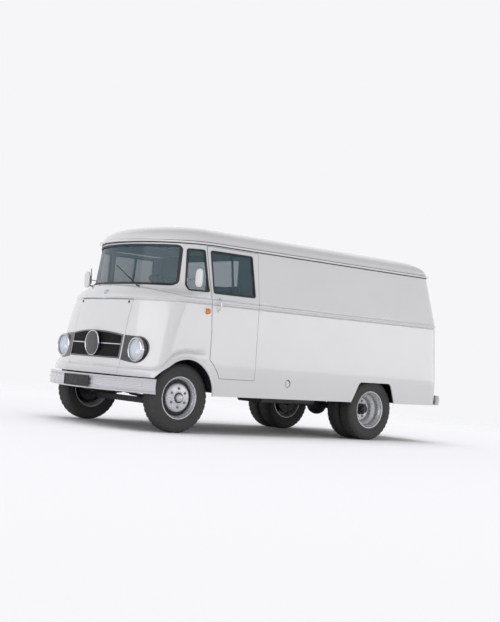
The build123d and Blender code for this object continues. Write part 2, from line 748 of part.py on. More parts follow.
def tie_rod():
    """Track rod between the two steering arms."""
    y = FRONT_Y + 160
    bar = rod((-KINGPIN_X + 5, y, 386), (KINGPIN_X - 5, y, 386), 11)
    for side in (-1, 1):
        bar += rod((side * (KINGPIN_X - 5), y, 375), (side * (KINGPIN_X - 5), y, 402), 13)
    return bar


def prop_shaft():
    return rod((0, 905, 470), (0, 2730, 322), 32)


# ---------------------------------------------------------------- small moving pieces
def wiper(pivot_x, slope, angle):
    """Arm and blade in a plane that follows the windscreen."""
    normal = Vector(slope, -1, 0.1).normalized()
    level = Vector(0, 0, 1).cross(normal).normalized()
    rise = normal.cross(level)
    if level.X > 0:
        level = level * -1
    if rise.Z < 0:
        rise = rise * -1
    ahead = level * cos(radians(angle)) + rise * sin(radians(angle))
    pivot = Vector(pivot_x, wiper_pivot_y(pivot_x), 1498)
    head = pivot + normal * 34
    tip = head + ahead * 420
    spindle = rod(tuple(pivot), tuple(head + normal * 6), 8)
    arm = rod(tuple(head), tuple(head + ahead * 240), 4)
    blade = rod(tuple(head + ahead * 60 - normal * 10), tuple(tip - normal * 10), 5)
    link = rod(tuple(head + ahead * 236), tuple(head + ahead * 236 - normal * 10), 3)
    return spindle + arm + blade + link


def wiper_pivot_y(x):
    """Surface of the cowl at the wiper spindle."""
    return 255 - 590 * sqrt(1 - (x / 983) ** 2) - 8


def mirror_assembly():
    arm = rod((864, 40, 1592), (1064, 34, 1602), 5)
    arm += rod((864, 40, 1580), (864, 40, 1604), 8)
    head = Pos(1080, 32, 1608) * Rot(90, 0, 0) * extrude(Rot(0, 0, 90) * SlotOverall(190, 100), 16)
    return arm + head


def pedal(x, width):
    arm = rod((x, -150, 1040), (x, -190, 905), 7)
    arm += rod((x - 16, -150, 1040), (x + 16, -150, 1040), 10)
    pad = Pos(x, -180, 895) * Rot(-50, 0, 0) * Box(width, 60, 8)
    return arm + pad


def gear_lever():
    lever = rod((340, 20, 832), (340, 60, 1180), 7)
    lever += Pos(340, 60, 1186) * Sphere(18)
    return lever


def handbrake():
    lever = rod((318, 180, 850), (318, 108, 1075), 8)
    lever += rod((318, 112, 1062), (318, 92, 1130), 12)
    return lever


# ---------------------------------------------------------------- assembly
def tipped(shapes):
    """Lays out a node's solids in the finished frame."""
    if not isinstance(shapes, (list, tuple)):
        shapes = [shapes]
    solids = []
    for shape in shapes:
        for solid in shape.solids():
            solids.append(Pos(0, FOOTPRINT_SHIFT, 0) * Rot(RAKE, 0, 0) * solid)
    return Compound(children=solids)


def write(name, shapes):
    export_step(tipped(shapes), "parts/" + name + ".step")


def write_both(name, shapes):
    """Left node and its mirror image."""
    if not isinstance(shapes, (list, tuple)):
        shapes = [shapes]
    write(name + "_left", shapes)
    write(name + "_right", [mirrored(shape) for shape in shapes])


def main():
    for name, panel in split_body(pressed_body()).items():
        write(name, panel)
    write("roof_panel", roof_panel())
    write("cab_floor", [cab_floor(), engine_cover()])
    write("cargo_floor", cargo_floor())
    write("bulkhead", bulkhead())
    write("wheel_housings", pair(front_wheel_housing()) + pair(rear_wheel_box()))
    write("dashboard", dashboard())
    write("steering_wheel", steering_wheel())
    write("seat_cushions", seat(SEAT_X) + [mirrored(part) for part in seat(SEAT_X)])
    write("seat_frames", seat_frame(SEAT_X) + [mirrored(part) for part in seat_frame(SEAT_X)])
    write("cab_glass", cab_glass())
    write("window_seals", window_seals())
    write("bonnet_hatch", hatch_panel())
    write("grille", grille())
    write("headlamp_rims", pair(headlamp_rim()))
    lamps = [headlamp_lens()] + signal_lamps()
    write("lamp_lenses", [half for lamp in lamps for half in pair(lamp)])
    write("front_bumper", front_bumper())
    write("rear_bumper", rear_bumper())
    write_both("cab_door", cab_door())
    write_both("door_glass", side_pane(560, 890, 10))
    write_both("sliding_pane", side_pane(260, 590, 17))
    write_both("cab_door_handle", cab_door_handle())
    write("rear_door_left", rear_door(1))
    write("rear_door_right", rear_door(-1))
    write("chassis_frame", chassis_frame())
    write("axles", [front_axle_beam(), rear_axle()])
    write("leaf_springs", pair(leaf_spring(FRONT_Y, 480, 359, 425)) + pair(leaf_spring(REAR_Y, 600, 386, 455)))
    write("engine_gearbox", engine_gearbox())
    write("exhaust", exhaust())
    write("fuel_tank", fuel_tank())
    write("filler_cap", filler_cap())
    write_both("front_tyre", tyre(FRONT_WHEEL_X, FRONT_Y, FRONT_Z))
    write_both("front_wheel", front_wheel())
    twins = [tyre(REAR_WHEEL_X, REAR_Y, REAR_Z), tyre(REAR_WHEEL_X - TWIN_GAP, REAR_Y, REAR_Z)]
    write_both("rear_tyres", twins)
    write_both("rear_wheel", rear_wheel())
    write_both("steering_knuckle", steering_knuckle())
    write("tie_rod", tie_rod())
    write("prop_shaft", prop_shaft())
    write("wiper_left", wiper(450, 0.19, 31))
    write("wiper_right", wiper(-450, -0.515, 31))
    write_both("mirror", mirror_assembly())
    write("clutch_pedal", pedal(510, 55))
    write("brake_pedal", pedal(430, 52))
    write("accelerator_pedal", pedal(348, 40))
    write("gear_lever", gear_lever())
    write("handbrake_lever", handbrake())


main()
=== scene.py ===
"""Mail delivery truck: a forward-control panel van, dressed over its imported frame."""
import math

import bmesh
import bpy
import numpy as np
from mathutils import Matrix, Vector
from mathutils.geometry import delaunay_2d_cdt


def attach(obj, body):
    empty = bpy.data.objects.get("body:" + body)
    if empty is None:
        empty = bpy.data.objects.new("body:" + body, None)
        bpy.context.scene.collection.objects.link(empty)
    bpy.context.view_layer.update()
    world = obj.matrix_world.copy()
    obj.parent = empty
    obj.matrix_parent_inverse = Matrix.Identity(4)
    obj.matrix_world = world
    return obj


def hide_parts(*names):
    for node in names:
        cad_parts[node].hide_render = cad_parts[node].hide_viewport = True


bl_info = {
    "name": "Mail delivery truck",
    "version": (1, 0, 0),
    "blender": (4, 5, 0),
    "location": "View3D > Sidebar > Mail truck",
    "description": "Builds the painted panels, glass, lamps, wheels and cab of a postal panel van",
    "category": "Object",
}

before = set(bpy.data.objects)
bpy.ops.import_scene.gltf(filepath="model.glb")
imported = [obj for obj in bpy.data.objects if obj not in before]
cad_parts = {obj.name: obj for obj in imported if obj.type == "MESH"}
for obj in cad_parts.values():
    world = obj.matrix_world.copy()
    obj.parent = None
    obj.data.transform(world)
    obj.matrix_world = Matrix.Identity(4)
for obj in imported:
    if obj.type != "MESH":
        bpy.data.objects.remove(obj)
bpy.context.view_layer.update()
MM = 0.001

# ------------------------------------------------------------------ body sizes, mm, body frame
# Body frame: x to the van's left, y to the rear, z up, level; row() tips it onto its wheels.
TIP = math.radians(1.04)
FOOTPRINT_SHIFT = -1696.7
CORNER_R = 150
BELT_Z = 1385
COWL_TOP_Z = 1545
GUTTER_Z = 1985
VALANCE_Z = 556
SILL_Z = 396
ARCH_Y, ARCH_Z, ARCH_R = -8, 392, 372
LAMP_X, LAMP_Y, LAMP_Z, LAMP_R = 705, -330, 828, 126
HATCH_HALF, HATCH_TOP = 500, 1352
TYRE_R, TYRE_W, RIM_R, RIM_W = 362, 185, 222, 150
FRONT_WHEEL = (838, -1696.7, 362)        # wheel centres stand in the row's own frame
REAR_WHEEL = (844, 1153.3, 362)
TWIN_GAP = 215
SHEET = 14                               # visible return of the pressed panels
RAIL_X = 370                             # middle of each chassis rail
BUMPER_HALF, BUMPER_BOW = 1030, 265      # front blade: half length and depth of its bow
FLOOR_FADE = (6.0, 13.0)                 # metres over which the studio floor thins away
CAMERA_AT = (10.0053, -8.5230, 0.6911)
CAMERA_AZIMUTH, CAMERA_LIFT, CAMERA_ROLL = (math.radians(a) for a in (49.82, -3.17, 4.89))
CAMERA_LENS = 63.5

# Stations: height, half width, nose, depth of the nose ellipse, tail.
LOWER = np.array([(395, 985, -490, 240, 4025), (556, 1000, -516, 255, 4018), (875, 1004, -495, 300, 3995),
                  (1100, 1002, -468, 340, 3975), (1385, 1000, -415, 395, 3950)], float)
COWL = np.array([(1385, 1000, -415, 395, 3950), (1408, 997, -404, 425, 3945), (1440, 992, -374, 500, 3938),
                 (1490, 985, -326, 590, 3927), (1545, 977, -290, 640, 3915)], float)
UPPER = np.array([(1545, 977, -290, 640, 3915), (1985, 914, -245, 600, 3820)], float)


# ------------------------------------------------------------------ small helpers
def row(points):
    """Body frame in millimetres to the row's frame in metres."""
    p = np.asarray(points, float).reshape(-1, 3)
    y = p[:, 1] * math.cos(TIP) - p[:, 2] * math.sin(TIP) + FOOTPRINT_SHIFT
    z = p[:, 1] * math.sin(TIP) + p[:, 2] * math.cos(TIP)
    return np.column_stack([p[:, 0], y, z]) * MM


def linear(colour):
    """sRGB hex to linear RGB."""
    parts = [int(colour[i:i + 2], 16) / 255 for i in (1, 3, 5)]
    return tuple(c / 12.92 if c <= 0.04045 else ((c + 0.055) / 1.055) ** 2.4 for c in parts)


def piece(name, points, faces, material, body, tipped=True, crease=38, flip=False):
    """New mesh object from points in millimetres, on its body and with its finish."""
    points = row(points) if tipped else np.asarray(points, float).reshape(-1, 3) * MM
    if flip:
        faces = [tuple(reversed(face)) for face in faces]
    mesh = bpy.data.meshes.new(name)
    mesh.from_pydata(points.tolist(), [], [tuple(int(i) for i in face) for face in faces])
    mesh.validate()
    mesh.shade_smooth()
    mesh.set_sharp_from_angle(angle=math.radians(crease))
    obj = bpy.data.objects.new(name, mesh)
    bpy.context.scene.collection.objects.link(obj)
    obj.data.materials.append(material)
    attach(obj, body)
    return obj


class Shape:
    """Gathers vertices and faces of several simple forms into one mesh."""

    def __init__(self):
        self.points, self.faces = [], []

    def add(self, points, faces):
        start = len(self.points)
        self.points.extend([tuple(p) for p in points])
        self.faces.extend([tuple(i + start for i in face) for face in faces])
        return self

    def grid(self, rows, close_u=False, close_v=False, cap=False):
        """Quads over a list of equally long rows of points."""
        rows = np.asarray(rows, float)
        m, n = rows.shape[:2]
        faces = []
        for i in range(m if close_u else m - 1):
            for j in range(n if close_v else n - 1):
                a, b = i * n + j, i * n + (j + 1) % n
                c, d = ((i + 1) % m) * n + (j + 1) % n, ((i + 1) % m) * n + j
                faces.append((a, b, c, d))
        if cap:
            faces.append(tuple(reversed(range(n))))
            faces.append(tuple((m - 1) * n + j for j in range(n)))
        return self.add(rows.reshape(-1, 3), faces)

    def spun(self, outline, centre, segments=96, side=1, wave=None):
        """Turned about an X axis from (offset outward, radius) pairs."""
        rows = []
        for k in range(segments):
            a = 2 * math.pi * k / segments
            ring = []
            for i, (offset, radius) in enumerate(outline):
                if wave:
                    offset, radius = wave(i, k, offset, radius)
                ring.append((centre[0] + side * offset, centre[1] + radius * math.cos(a),
                             centre[2] + radius * math.sin(a)))
            rows.append(ring)
        if side > 0:
            rows = rows[::-1]
        return self.grid(rows, close_u=True, close_v=True)

    def dial(self, outline, centre, segments=64):
        """Turned about a Y axis from (forward, radius) pairs."""
        rows = []
        for k in range(segments):
            a = 2 * math.pi * k / segments
            ring = []
            for forward, radius in outline:
                ring.append((centre[0] + radius * math.cos(a), centre[1] - forward, centre[2] + radius * math.sin(a)))
            rows.append(ring)
        return self.grid(rows[::-1], close_u=True, close_v=True)

    def tube(self, path, radius, sides=12):
        """Round bar along a list of points, closed at both ends."""
        path = [Vector(p) for p in path]
        rows, normal = [], None
        for i, point in enumerate(path):
            ahead = (path[min(i + 1, len(path) - 1)] - path[max(i - 1, 0)]).normalized()
            if normal is None:
                normal = ahead.orthogonal().normalized()
            normal = (normal - ahead * normal.dot(ahead)).normalized()
            other = ahead.cross(normal)
            r = radius[i] if isinstance(radius, (list, tuple)) else radius
            rows.append([tuple(point + (normal * math.cos(t) + other * math.sin(t)) * r)
                         for t in np.linspace(0, 2 * math.pi, sides, endpoint=False)])
        return self.grid(rows, close_v=True, cap=True)

    def block(self, low, high, ease=3):
        """Box with eased edges."""
        made = bmesh.new()
        bmesh.ops.create_cube(made, size=1)
        for vert in made.verts:
            vert.co = Vector([(low[i] + high[i]) / 2 + vert.co[i] * (high[i] - low[i]) for i in range(3)])
        if ease:
            bmesh.ops.bevel(made, geom=made.edges[:], offset=ease, segments=2, profile=0.6, affect="EDGES")
        made.verts.index_update()
        points = [tuple(v.co) for v in made.verts]
        faces = [tuple(v.index for v in f.verts) for f in made.faces]
        made.free()
        return self.add(points, faces)

    def hexagon(self, centre, axis, radius, height):
        """Nut with a domed top."""
        axis = Vector(axis).normalized()
        u = axis.orthogonal().normalized()
        v = axis.cross(u)
        rows = []
        for up, share in ((0, 1), (height * 0.8, 1), (height, 0.84), (height, 0.4), (height * 1.25, 0.36)):
            ring = []
            for k in range(6):
                t = math.pi / 3 * k
                ring.append(tuple(Vector(centre) + axis * up + (u * math.cos(t) + v * math.sin(t)) * radius * share))
            rows.append(ring)
        return self.grid(rows, close_v=True, cap=True)

    def make(self, name, material, body, **options):
        return piece(name, self.points, self.faces, material, body, **options)


# ------------------------------------------------------------------ the body surface
def cubic(stations):
    """Natural cubic curves through the stations, one per column."""
    x, y = stations[:, 0], stations[:, 1:]
    h = np.diff(x)
    n = len(x)
    a = np.eye(n)
    b = np.zeros((n, y.shape[1]))
    for i in range(1, n - 1):
        a[i, i - 1:i + 2] = h[i - 1], 2 * (h[i - 1] + h[i]), h[i]
        b[i] = 6 * ((y[i + 1] - y[i]) / h[i] - (y[i] - y[i - 1]) / h[i - 1])
    m = np.linalg.solve(a, b)

    def curve(t):
        i = np.clip(np.searchsorted(x, t) - 1, 0, n - 2)
        u, v, w = (x[i + 1] - t)[:, None], (t - x[i])[:, None], h[i][:, None]
        return (m[i] * u ** 3 + m[i + 1] * v ** 3) / (6 * w) + (y[i] / w - m[i] * w / 6) * u \
            + (y[i + 1] / w - m[i + 1] * w / 6) * v
    return curve


LOWER_CURVE, COWL_CURVE = cubic(LOWER), cubic(COWL)


def section(z):
    """Half width, nose, ellipse depth and tail of the outline at each height."""
    z = np.atleast_1d(np.asarray(z, float))
    share = ((z - COWL_TOP_Z) / (GUTTER_Z - COWL_TOP_Z))[:, None]
    out = UPPER[0, 1:] * (1 - share) + UPPER[1, 1:] * share
    low, middle = z <= BELT_Z, (z > BELT_Z) & (z <= COWL_TOP_Z)
    if low.any():
        out[low] = LOWER_CURVE(z[low])
    if middle.any():
        out[middle] = COWL_CURVE(z[middle])
    return out.T


def base_point(s, z):
    """Left half of the outline: s is y along the side, and runs on round nose and tail."""
    half, nose, depth, tail = section(z)
    join, rear = nose + depth, tail - CORNER_R
    angle = np.pi / 2 - (join - s) / depth
    turn = np.clip((s - rear) / CORNER_R, 0, np.pi / 2)
    x = np.where(s < join, half * np.sin(angle), half - CORNER_R * (1 - np.cos(turn)))
    y = np.where(s < join, join - depth * np.cos(angle), np.minimum(s, rear) + CORNER_R * np.sin(turn))
    x = x - np.maximum(s - rear - CORNER_R * np.pi / 2, 0)
    return np.column_stack([x, y, z])


def crease_height(points):
    """Upper swage line: level along the side, arched under the windscreen."""
    x, y = np.abs(points[:, 0]), points[:, 1]
    side = BELT_Z + 3 + 15 * np.clip(1 - (y + 100) / 2500, 0, 1) ** 1.5
    rise = np.where(y < 600, 84 * np.clip(1 - (x / 968) ** 2, 0, 1) ** 0.85, 0)
    return side + rise, rise / 84


def ramp(value, low, high):
    t = np.clip((value - low) / (high - low), 0, 1)
    return t * t * (3 - 2 * t)


def pressing(points):
    """How far the pressed lines stand off the plain surface."""
    x, y, z = np.abs(points[:, 0]), points[:, 1], points[:, 2]
    height, front = crease_height(points)
    off = z - height
    lift = (7 + 14 * front) * np.where(off < 0, np.exp(-(off / (9 + 34 * front)) ** 2),
                                       np.exp(-(off / (6 + 7 * front)) ** 2))
    lift += 10 * np.exp(-((z - 1366) / 6) ** 2) - 10 * np.exp(-((z - 1353) / 5) ** 2)
    lift -= 8 * (1 - front) * np.exp(-((off - 13) / 5) ** 2)
    reach = np.hypot(y - ARCH_Y, z - ARCH_Z)
    near = ramp(x, 620, 800) * (y < 900)
    lift += near * 20 * np.exp(-((reach - 374) / 17) ** 2)
    # The wing line: level across the nose, then up and over the wheel arch in an S, fading behind it.
    level = 640 + 4 * (x / 1000) ** 2
    over = ARCH_Z + np.sqrt(np.clip(452 ** 2 - (y - ARCH_Y - 20) ** 2, 0, None))
    blend = ramp(y, -415, -150)
    wing = level * (1 - blend) + np.where(y < 12, over, 844 - (y - 12) * 0.02) * blend
    below = wing - z
    fade = (1 - ramp(y, 60, 290)) * (z < 1000) * (y < 600)
    swell = 24 * ramp(below, -3, 24) * (1 - ramp(below, 60, 150) * ramp(y, -480, -300))
    swell -= 8 * np.exp(-((below + 5) / 8) ** 2)
    lift += swell * fade
    return lift


def pressed_close(points):
    """Places where the pressed lines need the finer net."""
    x, y, z = np.abs(points[:, 0]), points[:, 1], points[:, 2]
    level = 640 + 4 * (x / 1000) ** 2
    over = ARCH_Z + np.sqrt(np.clip(452 ** 2 - (y - ARCH_Y - 20) ** 2, 0, None))
    wing = level * (1 - ramp(y, -415, -150)) + np.where(y < 12, over, 844 - (y - 12) * 0.02) * ramp(y, -415, -150)
    reach = np.hypot(y - ARCH_Y, z - ARCH_Z)
    height, _ = crease_height(points)
    near_wing = (np.abs(wing - z - 8) < 34) & (y < 300)
    near_arch = (x > 600) & (reach < 412) & (y < 600)
    return near_wing | near_arch | ((y < 300) & (z - height > -46) & (z - height < 26))


def skin(s, z, extra=0.0):
    """Point and outward direction on the pressed surface."""
    s, z = np.asarray(s, float), np.asarray(z, float)
    e = 0.4
    along = base_point(s + e, z) - base_point(s - e, z)
    up = base_point(s, z + e) - base_point(s, z - e)
    normal = np.cross(along, up)
    normal /= np.linalg.norm(normal, axis=1)[:, None]
    points = base_point(s, z)
    return points + normal * (pressing(points) + extra)[:, None], normal


def nose_s(x, z):
    half, nose, depth, _ = section(z)
    return nose + depth - depth * (np.pi / 2 - np.arcsin(np.clip(np.asarray(x) / half, -1, 1)))


def side_s(y, z):
    _, nose, depth, _ = section(z)
    join = nose + depth
    inside = np.clip((join - np.asarray(y)) / depth, 0, 1)
    return np.where(np.asarray(y) < join, join - depth * (np.pi / 2 - np.arccos(inside)), y)


def tail_s(x, z):
    half, _, _, tail = section(z)
    return tail - CORNER_R + CORNER_R * np.pi / 2 + half - CORNER_R - np.asarray(x)


def rounded(points, radius, steps=6):
    """Closed outline with its corners rounded."""
    out = []
    n = len(points)
    for i, point in enumerate(points):
        r = radius[i] if isinstance(radius, (list, tuple)) else radius
        p = np.array(point, float)
        if not r:
            out.append(tuple(p))
            continue
        a, b = np.array(points[i - 1], float) - p, np.array(points[(i + 1) % n], float) - p
        a, b = a / np.linalg.norm(a), b / np.linalg.norm(b)
        angle = math.acos(np.clip(a @ b, -1, 1))
        reach = r / math.tan(angle / 2)
        middle = p + (a + b) / np.linalg.norm(a + b) * r / math.sin(angle / 2)
        start, end = p + a * reach - middle, p + b * reach - middle
        sweep = math.pi - angle
        for k in range(steps + 1):
            t = k / steps
            out.append(tuple(middle + (start * math.sin(sweep * (1 - t)) + end * math.sin(sweep * t))
                             / math.sin(sweep)))
    return out


def arc(centre, radius, start, end, steps):
    return [(centre[0] + radius * math.cos(t), centre[1] + radius * math.sin(t))
            for t in np.radians(np.linspace(start, end, steps))]


def on_skin(points, place, closed=True, step=22):
    """Outline in natural coordinates to (s, z), with no gap over one step."""
    out = []
    n = len(points)
    for i in range(n if closed else n - 1):
        a, b = np.array(points[i], float), np.array(points[(i + 1) % n], float)
        count = max(1, int(math.ceil(np.linalg.norm(b - a) / step)))
        out.extend([a + (b - a) * k / count for k in range(count)])
    if not closed:
        out.append(np.array(points[-1], float))
    out = np.array(out)
    return np.column_stack([place(out[:, 0], out[:, 1]), out[:, 1]])


def inside(points, loop):
    """Even-odd test of many points against one outline."""
    x, y = points[:, 0][:, None], points[:, 1][:, None]
    ax, ay = loop[:, 0], loop[:, 1]
    bx, by = np.roll(ax, -1), np.roll(ay, -1)
    cross = (ay > y) != (by > y)
    with np.errstate(divide="ignore", invalid="ignore"):
        at = (bx - ax) * (y - ay) / (by - ay) + ax
    return (np.sum(cross & (x < at), axis=1) % 2) == 1


def clear_of(points, loop, room):
    near = np.full(len(points), np.inf)
    for start in range(0, len(points), 4000):
        part = points[start:start + 4000]
        near[start:start + 4000] = np.min(np.hypot(part[:, 0][:, None] - loop[:, 0],
                                                   part[:, 1][:, None] - loop[:, 1]), axis=1)
    return near > room


ROWS = np.unique(np.concatenate([np.arange(410, 1330, 24), np.arange(1336, 1412, 4), np.arange(1412, 1500, 7),
                                 np.arange(1504, 1985, 32)]))


def panel_mesh(outer, holes, step=26, depth=SHEET, extra=0.0, rows=ROWS, join=True):
    """Sheet with returns over one outline with holes; vertices at x = 0 get no return when joined."""
    loops = [np.asarray(outer)] + [np.asarray(hole) for hole in holes]
    low, high = loops[0].min(0), loops[0].max(0)
    columns = np.arange(low[0] + step * 0.5, high[0], step)
    levels = rows[(rows > low[1] + 3) & (rows < high[1] - 3)]
    fill = np.array([(c, r) for r in levels for c in columns])
    if low[0] < 300:
        fill = fill[~pressed_close(base_point(fill[:, 0], fill[:, 1]))]
        net = np.array([(c, r) for r in np.arange(low[1] + 4, min(high[1], 1520), 9)
                        for c in np.arange(low[0] + 4, min(high[0], 420), 11)])
        if len(net):
            fill = np.vstack([fill, net[pressed_close(base_point(net[:, 0], net[:, 1]))]])
    keep = inside(fill, loops[0])
    for hole in loops[1:]:
        keep &= ~inside(fill, hole)
    fill = fill[keep]
    for loop in loops:
        fill = fill[clear_of(fill, loop, 7)]
    points, edges = [], []
    for loop in loops:
        start = len(points)
        n = len(loop)
        points.extend(loop.tolist())
        edges.extend([(start + i, start + (i + 1) % n) for i in range(n)])
    points.extend(fill.tolist())
    flat, _, triangles, _, _, _ = delaunay_2d_cdt([Vector(p) for p in points], edges, [], 0, 1e-4)
    flat = np.array([tuple(p) for p in flat])
    triangles = np.array([tuple(t) for t in triangles])
    centres = flat[triangles].mean(1)
    keep = inside(centres, loops[0])
    for hole in loops[1:]:
        keep &= ~inside(centres, hole)
    triangles = triangles[keep]
    a, b, c = (flat[triangles[:, k]] for k in range(3))
    area = (b[:, 0] - a[:, 0]) * (c[:, 1] - a[:, 1]) - (b[:, 1] - a[:, 1]) * (c[:, 0] - a[:, 0])
    triangles[area < 0] = triangles[area < 0][:, ::-1]
    face, normal = skin(flat[:, 0], flat[:, 1], extra)
    back = face - normal * depth
    n = len(flat)
    points = np.vstack([face, back])
    faces = [tuple(t) for t in triangles] + [tuple(t[::-1] + n) for t in triangles]
    seen = set()
    for t in triangles:
        for i, j in ((t[0], t[1]), (t[1], t[2]), (t[2], t[0])):
            seen.add((int(i), int(j)))
    for i, j in seen:
        if (j, i) in seen:
            continue
        if join and abs(face[i, 0]) < 0.05 and abs(face[j, 0]) < 0.05:
            continue
        faces.append((j, i, i + n, j + n))
    used = sorted({i for face_ in faces for i in face_})
    order = {old: new for new, old in enumerate(used)}
    return points[used], [tuple(order[i] for i in face_) for face_ in faces]


def mirrored(points, faces):
    return points * np.array([-1, 1, 1]), [tuple(reversed(face)) for face in faces]


def both_halves(points, faces):
    """Left half and its mirror image, welded on the centre line."""
    other, turned = mirrored(points, faces)
    n = len(points)
    middle = {i for i in range(n) if abs(points[i, 0]) < 0.05}
    points[list(middle), 0] = 0
    index = {}
    kept = []
    for i in range(n):
        if i in middle:
            index[i] = i
        else:
            index[i] = n + len(kept)
            kept.append(other[i])
    joined = np.vstack([points, np.array(kept)])
    return joined, list(faces) + [tuple(index[i] for i in face) for face in turned]


def door_loop(grow, ease=0.0):
    """Cab door outline from the side, wrapped round the wheel arch at its foot."""
    radius = ARCH_R + 118 - grow + ease
    low, front, top, rear = 585 - grow, 300 - grow + ease, 1962 + grow, 930 + grow
    foot = math.degrees(math.asin((low - ARCH_Z) / radius))
    knee = math.degrees(math.acos((front - ARCH_Y) / radius))
    curve = arc((ARCH_Y, ARCH_Z), radius, foot, knee, 22)
    return curve + [(front, 1080), (236 - grow + ease, top), (rear, top), (rear, low)]


def swept(path, profile):
    """Rows for a profile of (outward, up) pairs carried along a level path of (x, y, out x, out y)."""
    return [[(x + ox * o, y + oy * o, z) for o, z in profile] for x, y, ox, oy in path]


def plan_path(offset, columns=(40, 60, 10, 24)):
    """Closed gutter line in plan with its outward directions, as offsets from the upper outline."""
    half, nose, depth, tail = 914 + offset, -245 - offset * 1.7, 600 + offset * 1.4, 3820 + offset
    corner = CORNER_R + offset * 0.6
    left = [(half * math.sin(t), nose + depth - depth * math.cos(t))
            for t in np.linspace(0, math.pi / 2, columns[0])]
    left += [(half, y) for y in np.linspace(nose + depth, tail - corner, columns[1])[1:]]
    left += [(half - corner + corner * math.cos(t), tail - corner + corner * math.sin(t))
             for t in np.linspace(0, math.pi / 2, columns[2])[1:]]
    left += [(x, tail) for x in np.linspace(half - corner, 0, columns[3])[1:]]
    return left


# ------------------------------------------------------------------ finishes
def add(tree, kind, settings=(), links=()):
    """Adds a node, sets its fields and inputs, and links sockets into it."""
    node = tree.nodes.new(kind)
    for key, value in dict(settings).items():
        if isinstance(key, str) and hasattr(node, key):
            setattr(node, key, value)
        else:
            node.inputs[key].default_value = value
    for key, socket in dict(links).items():
        tree.links.new(socket, node.inputs[key])
    return node


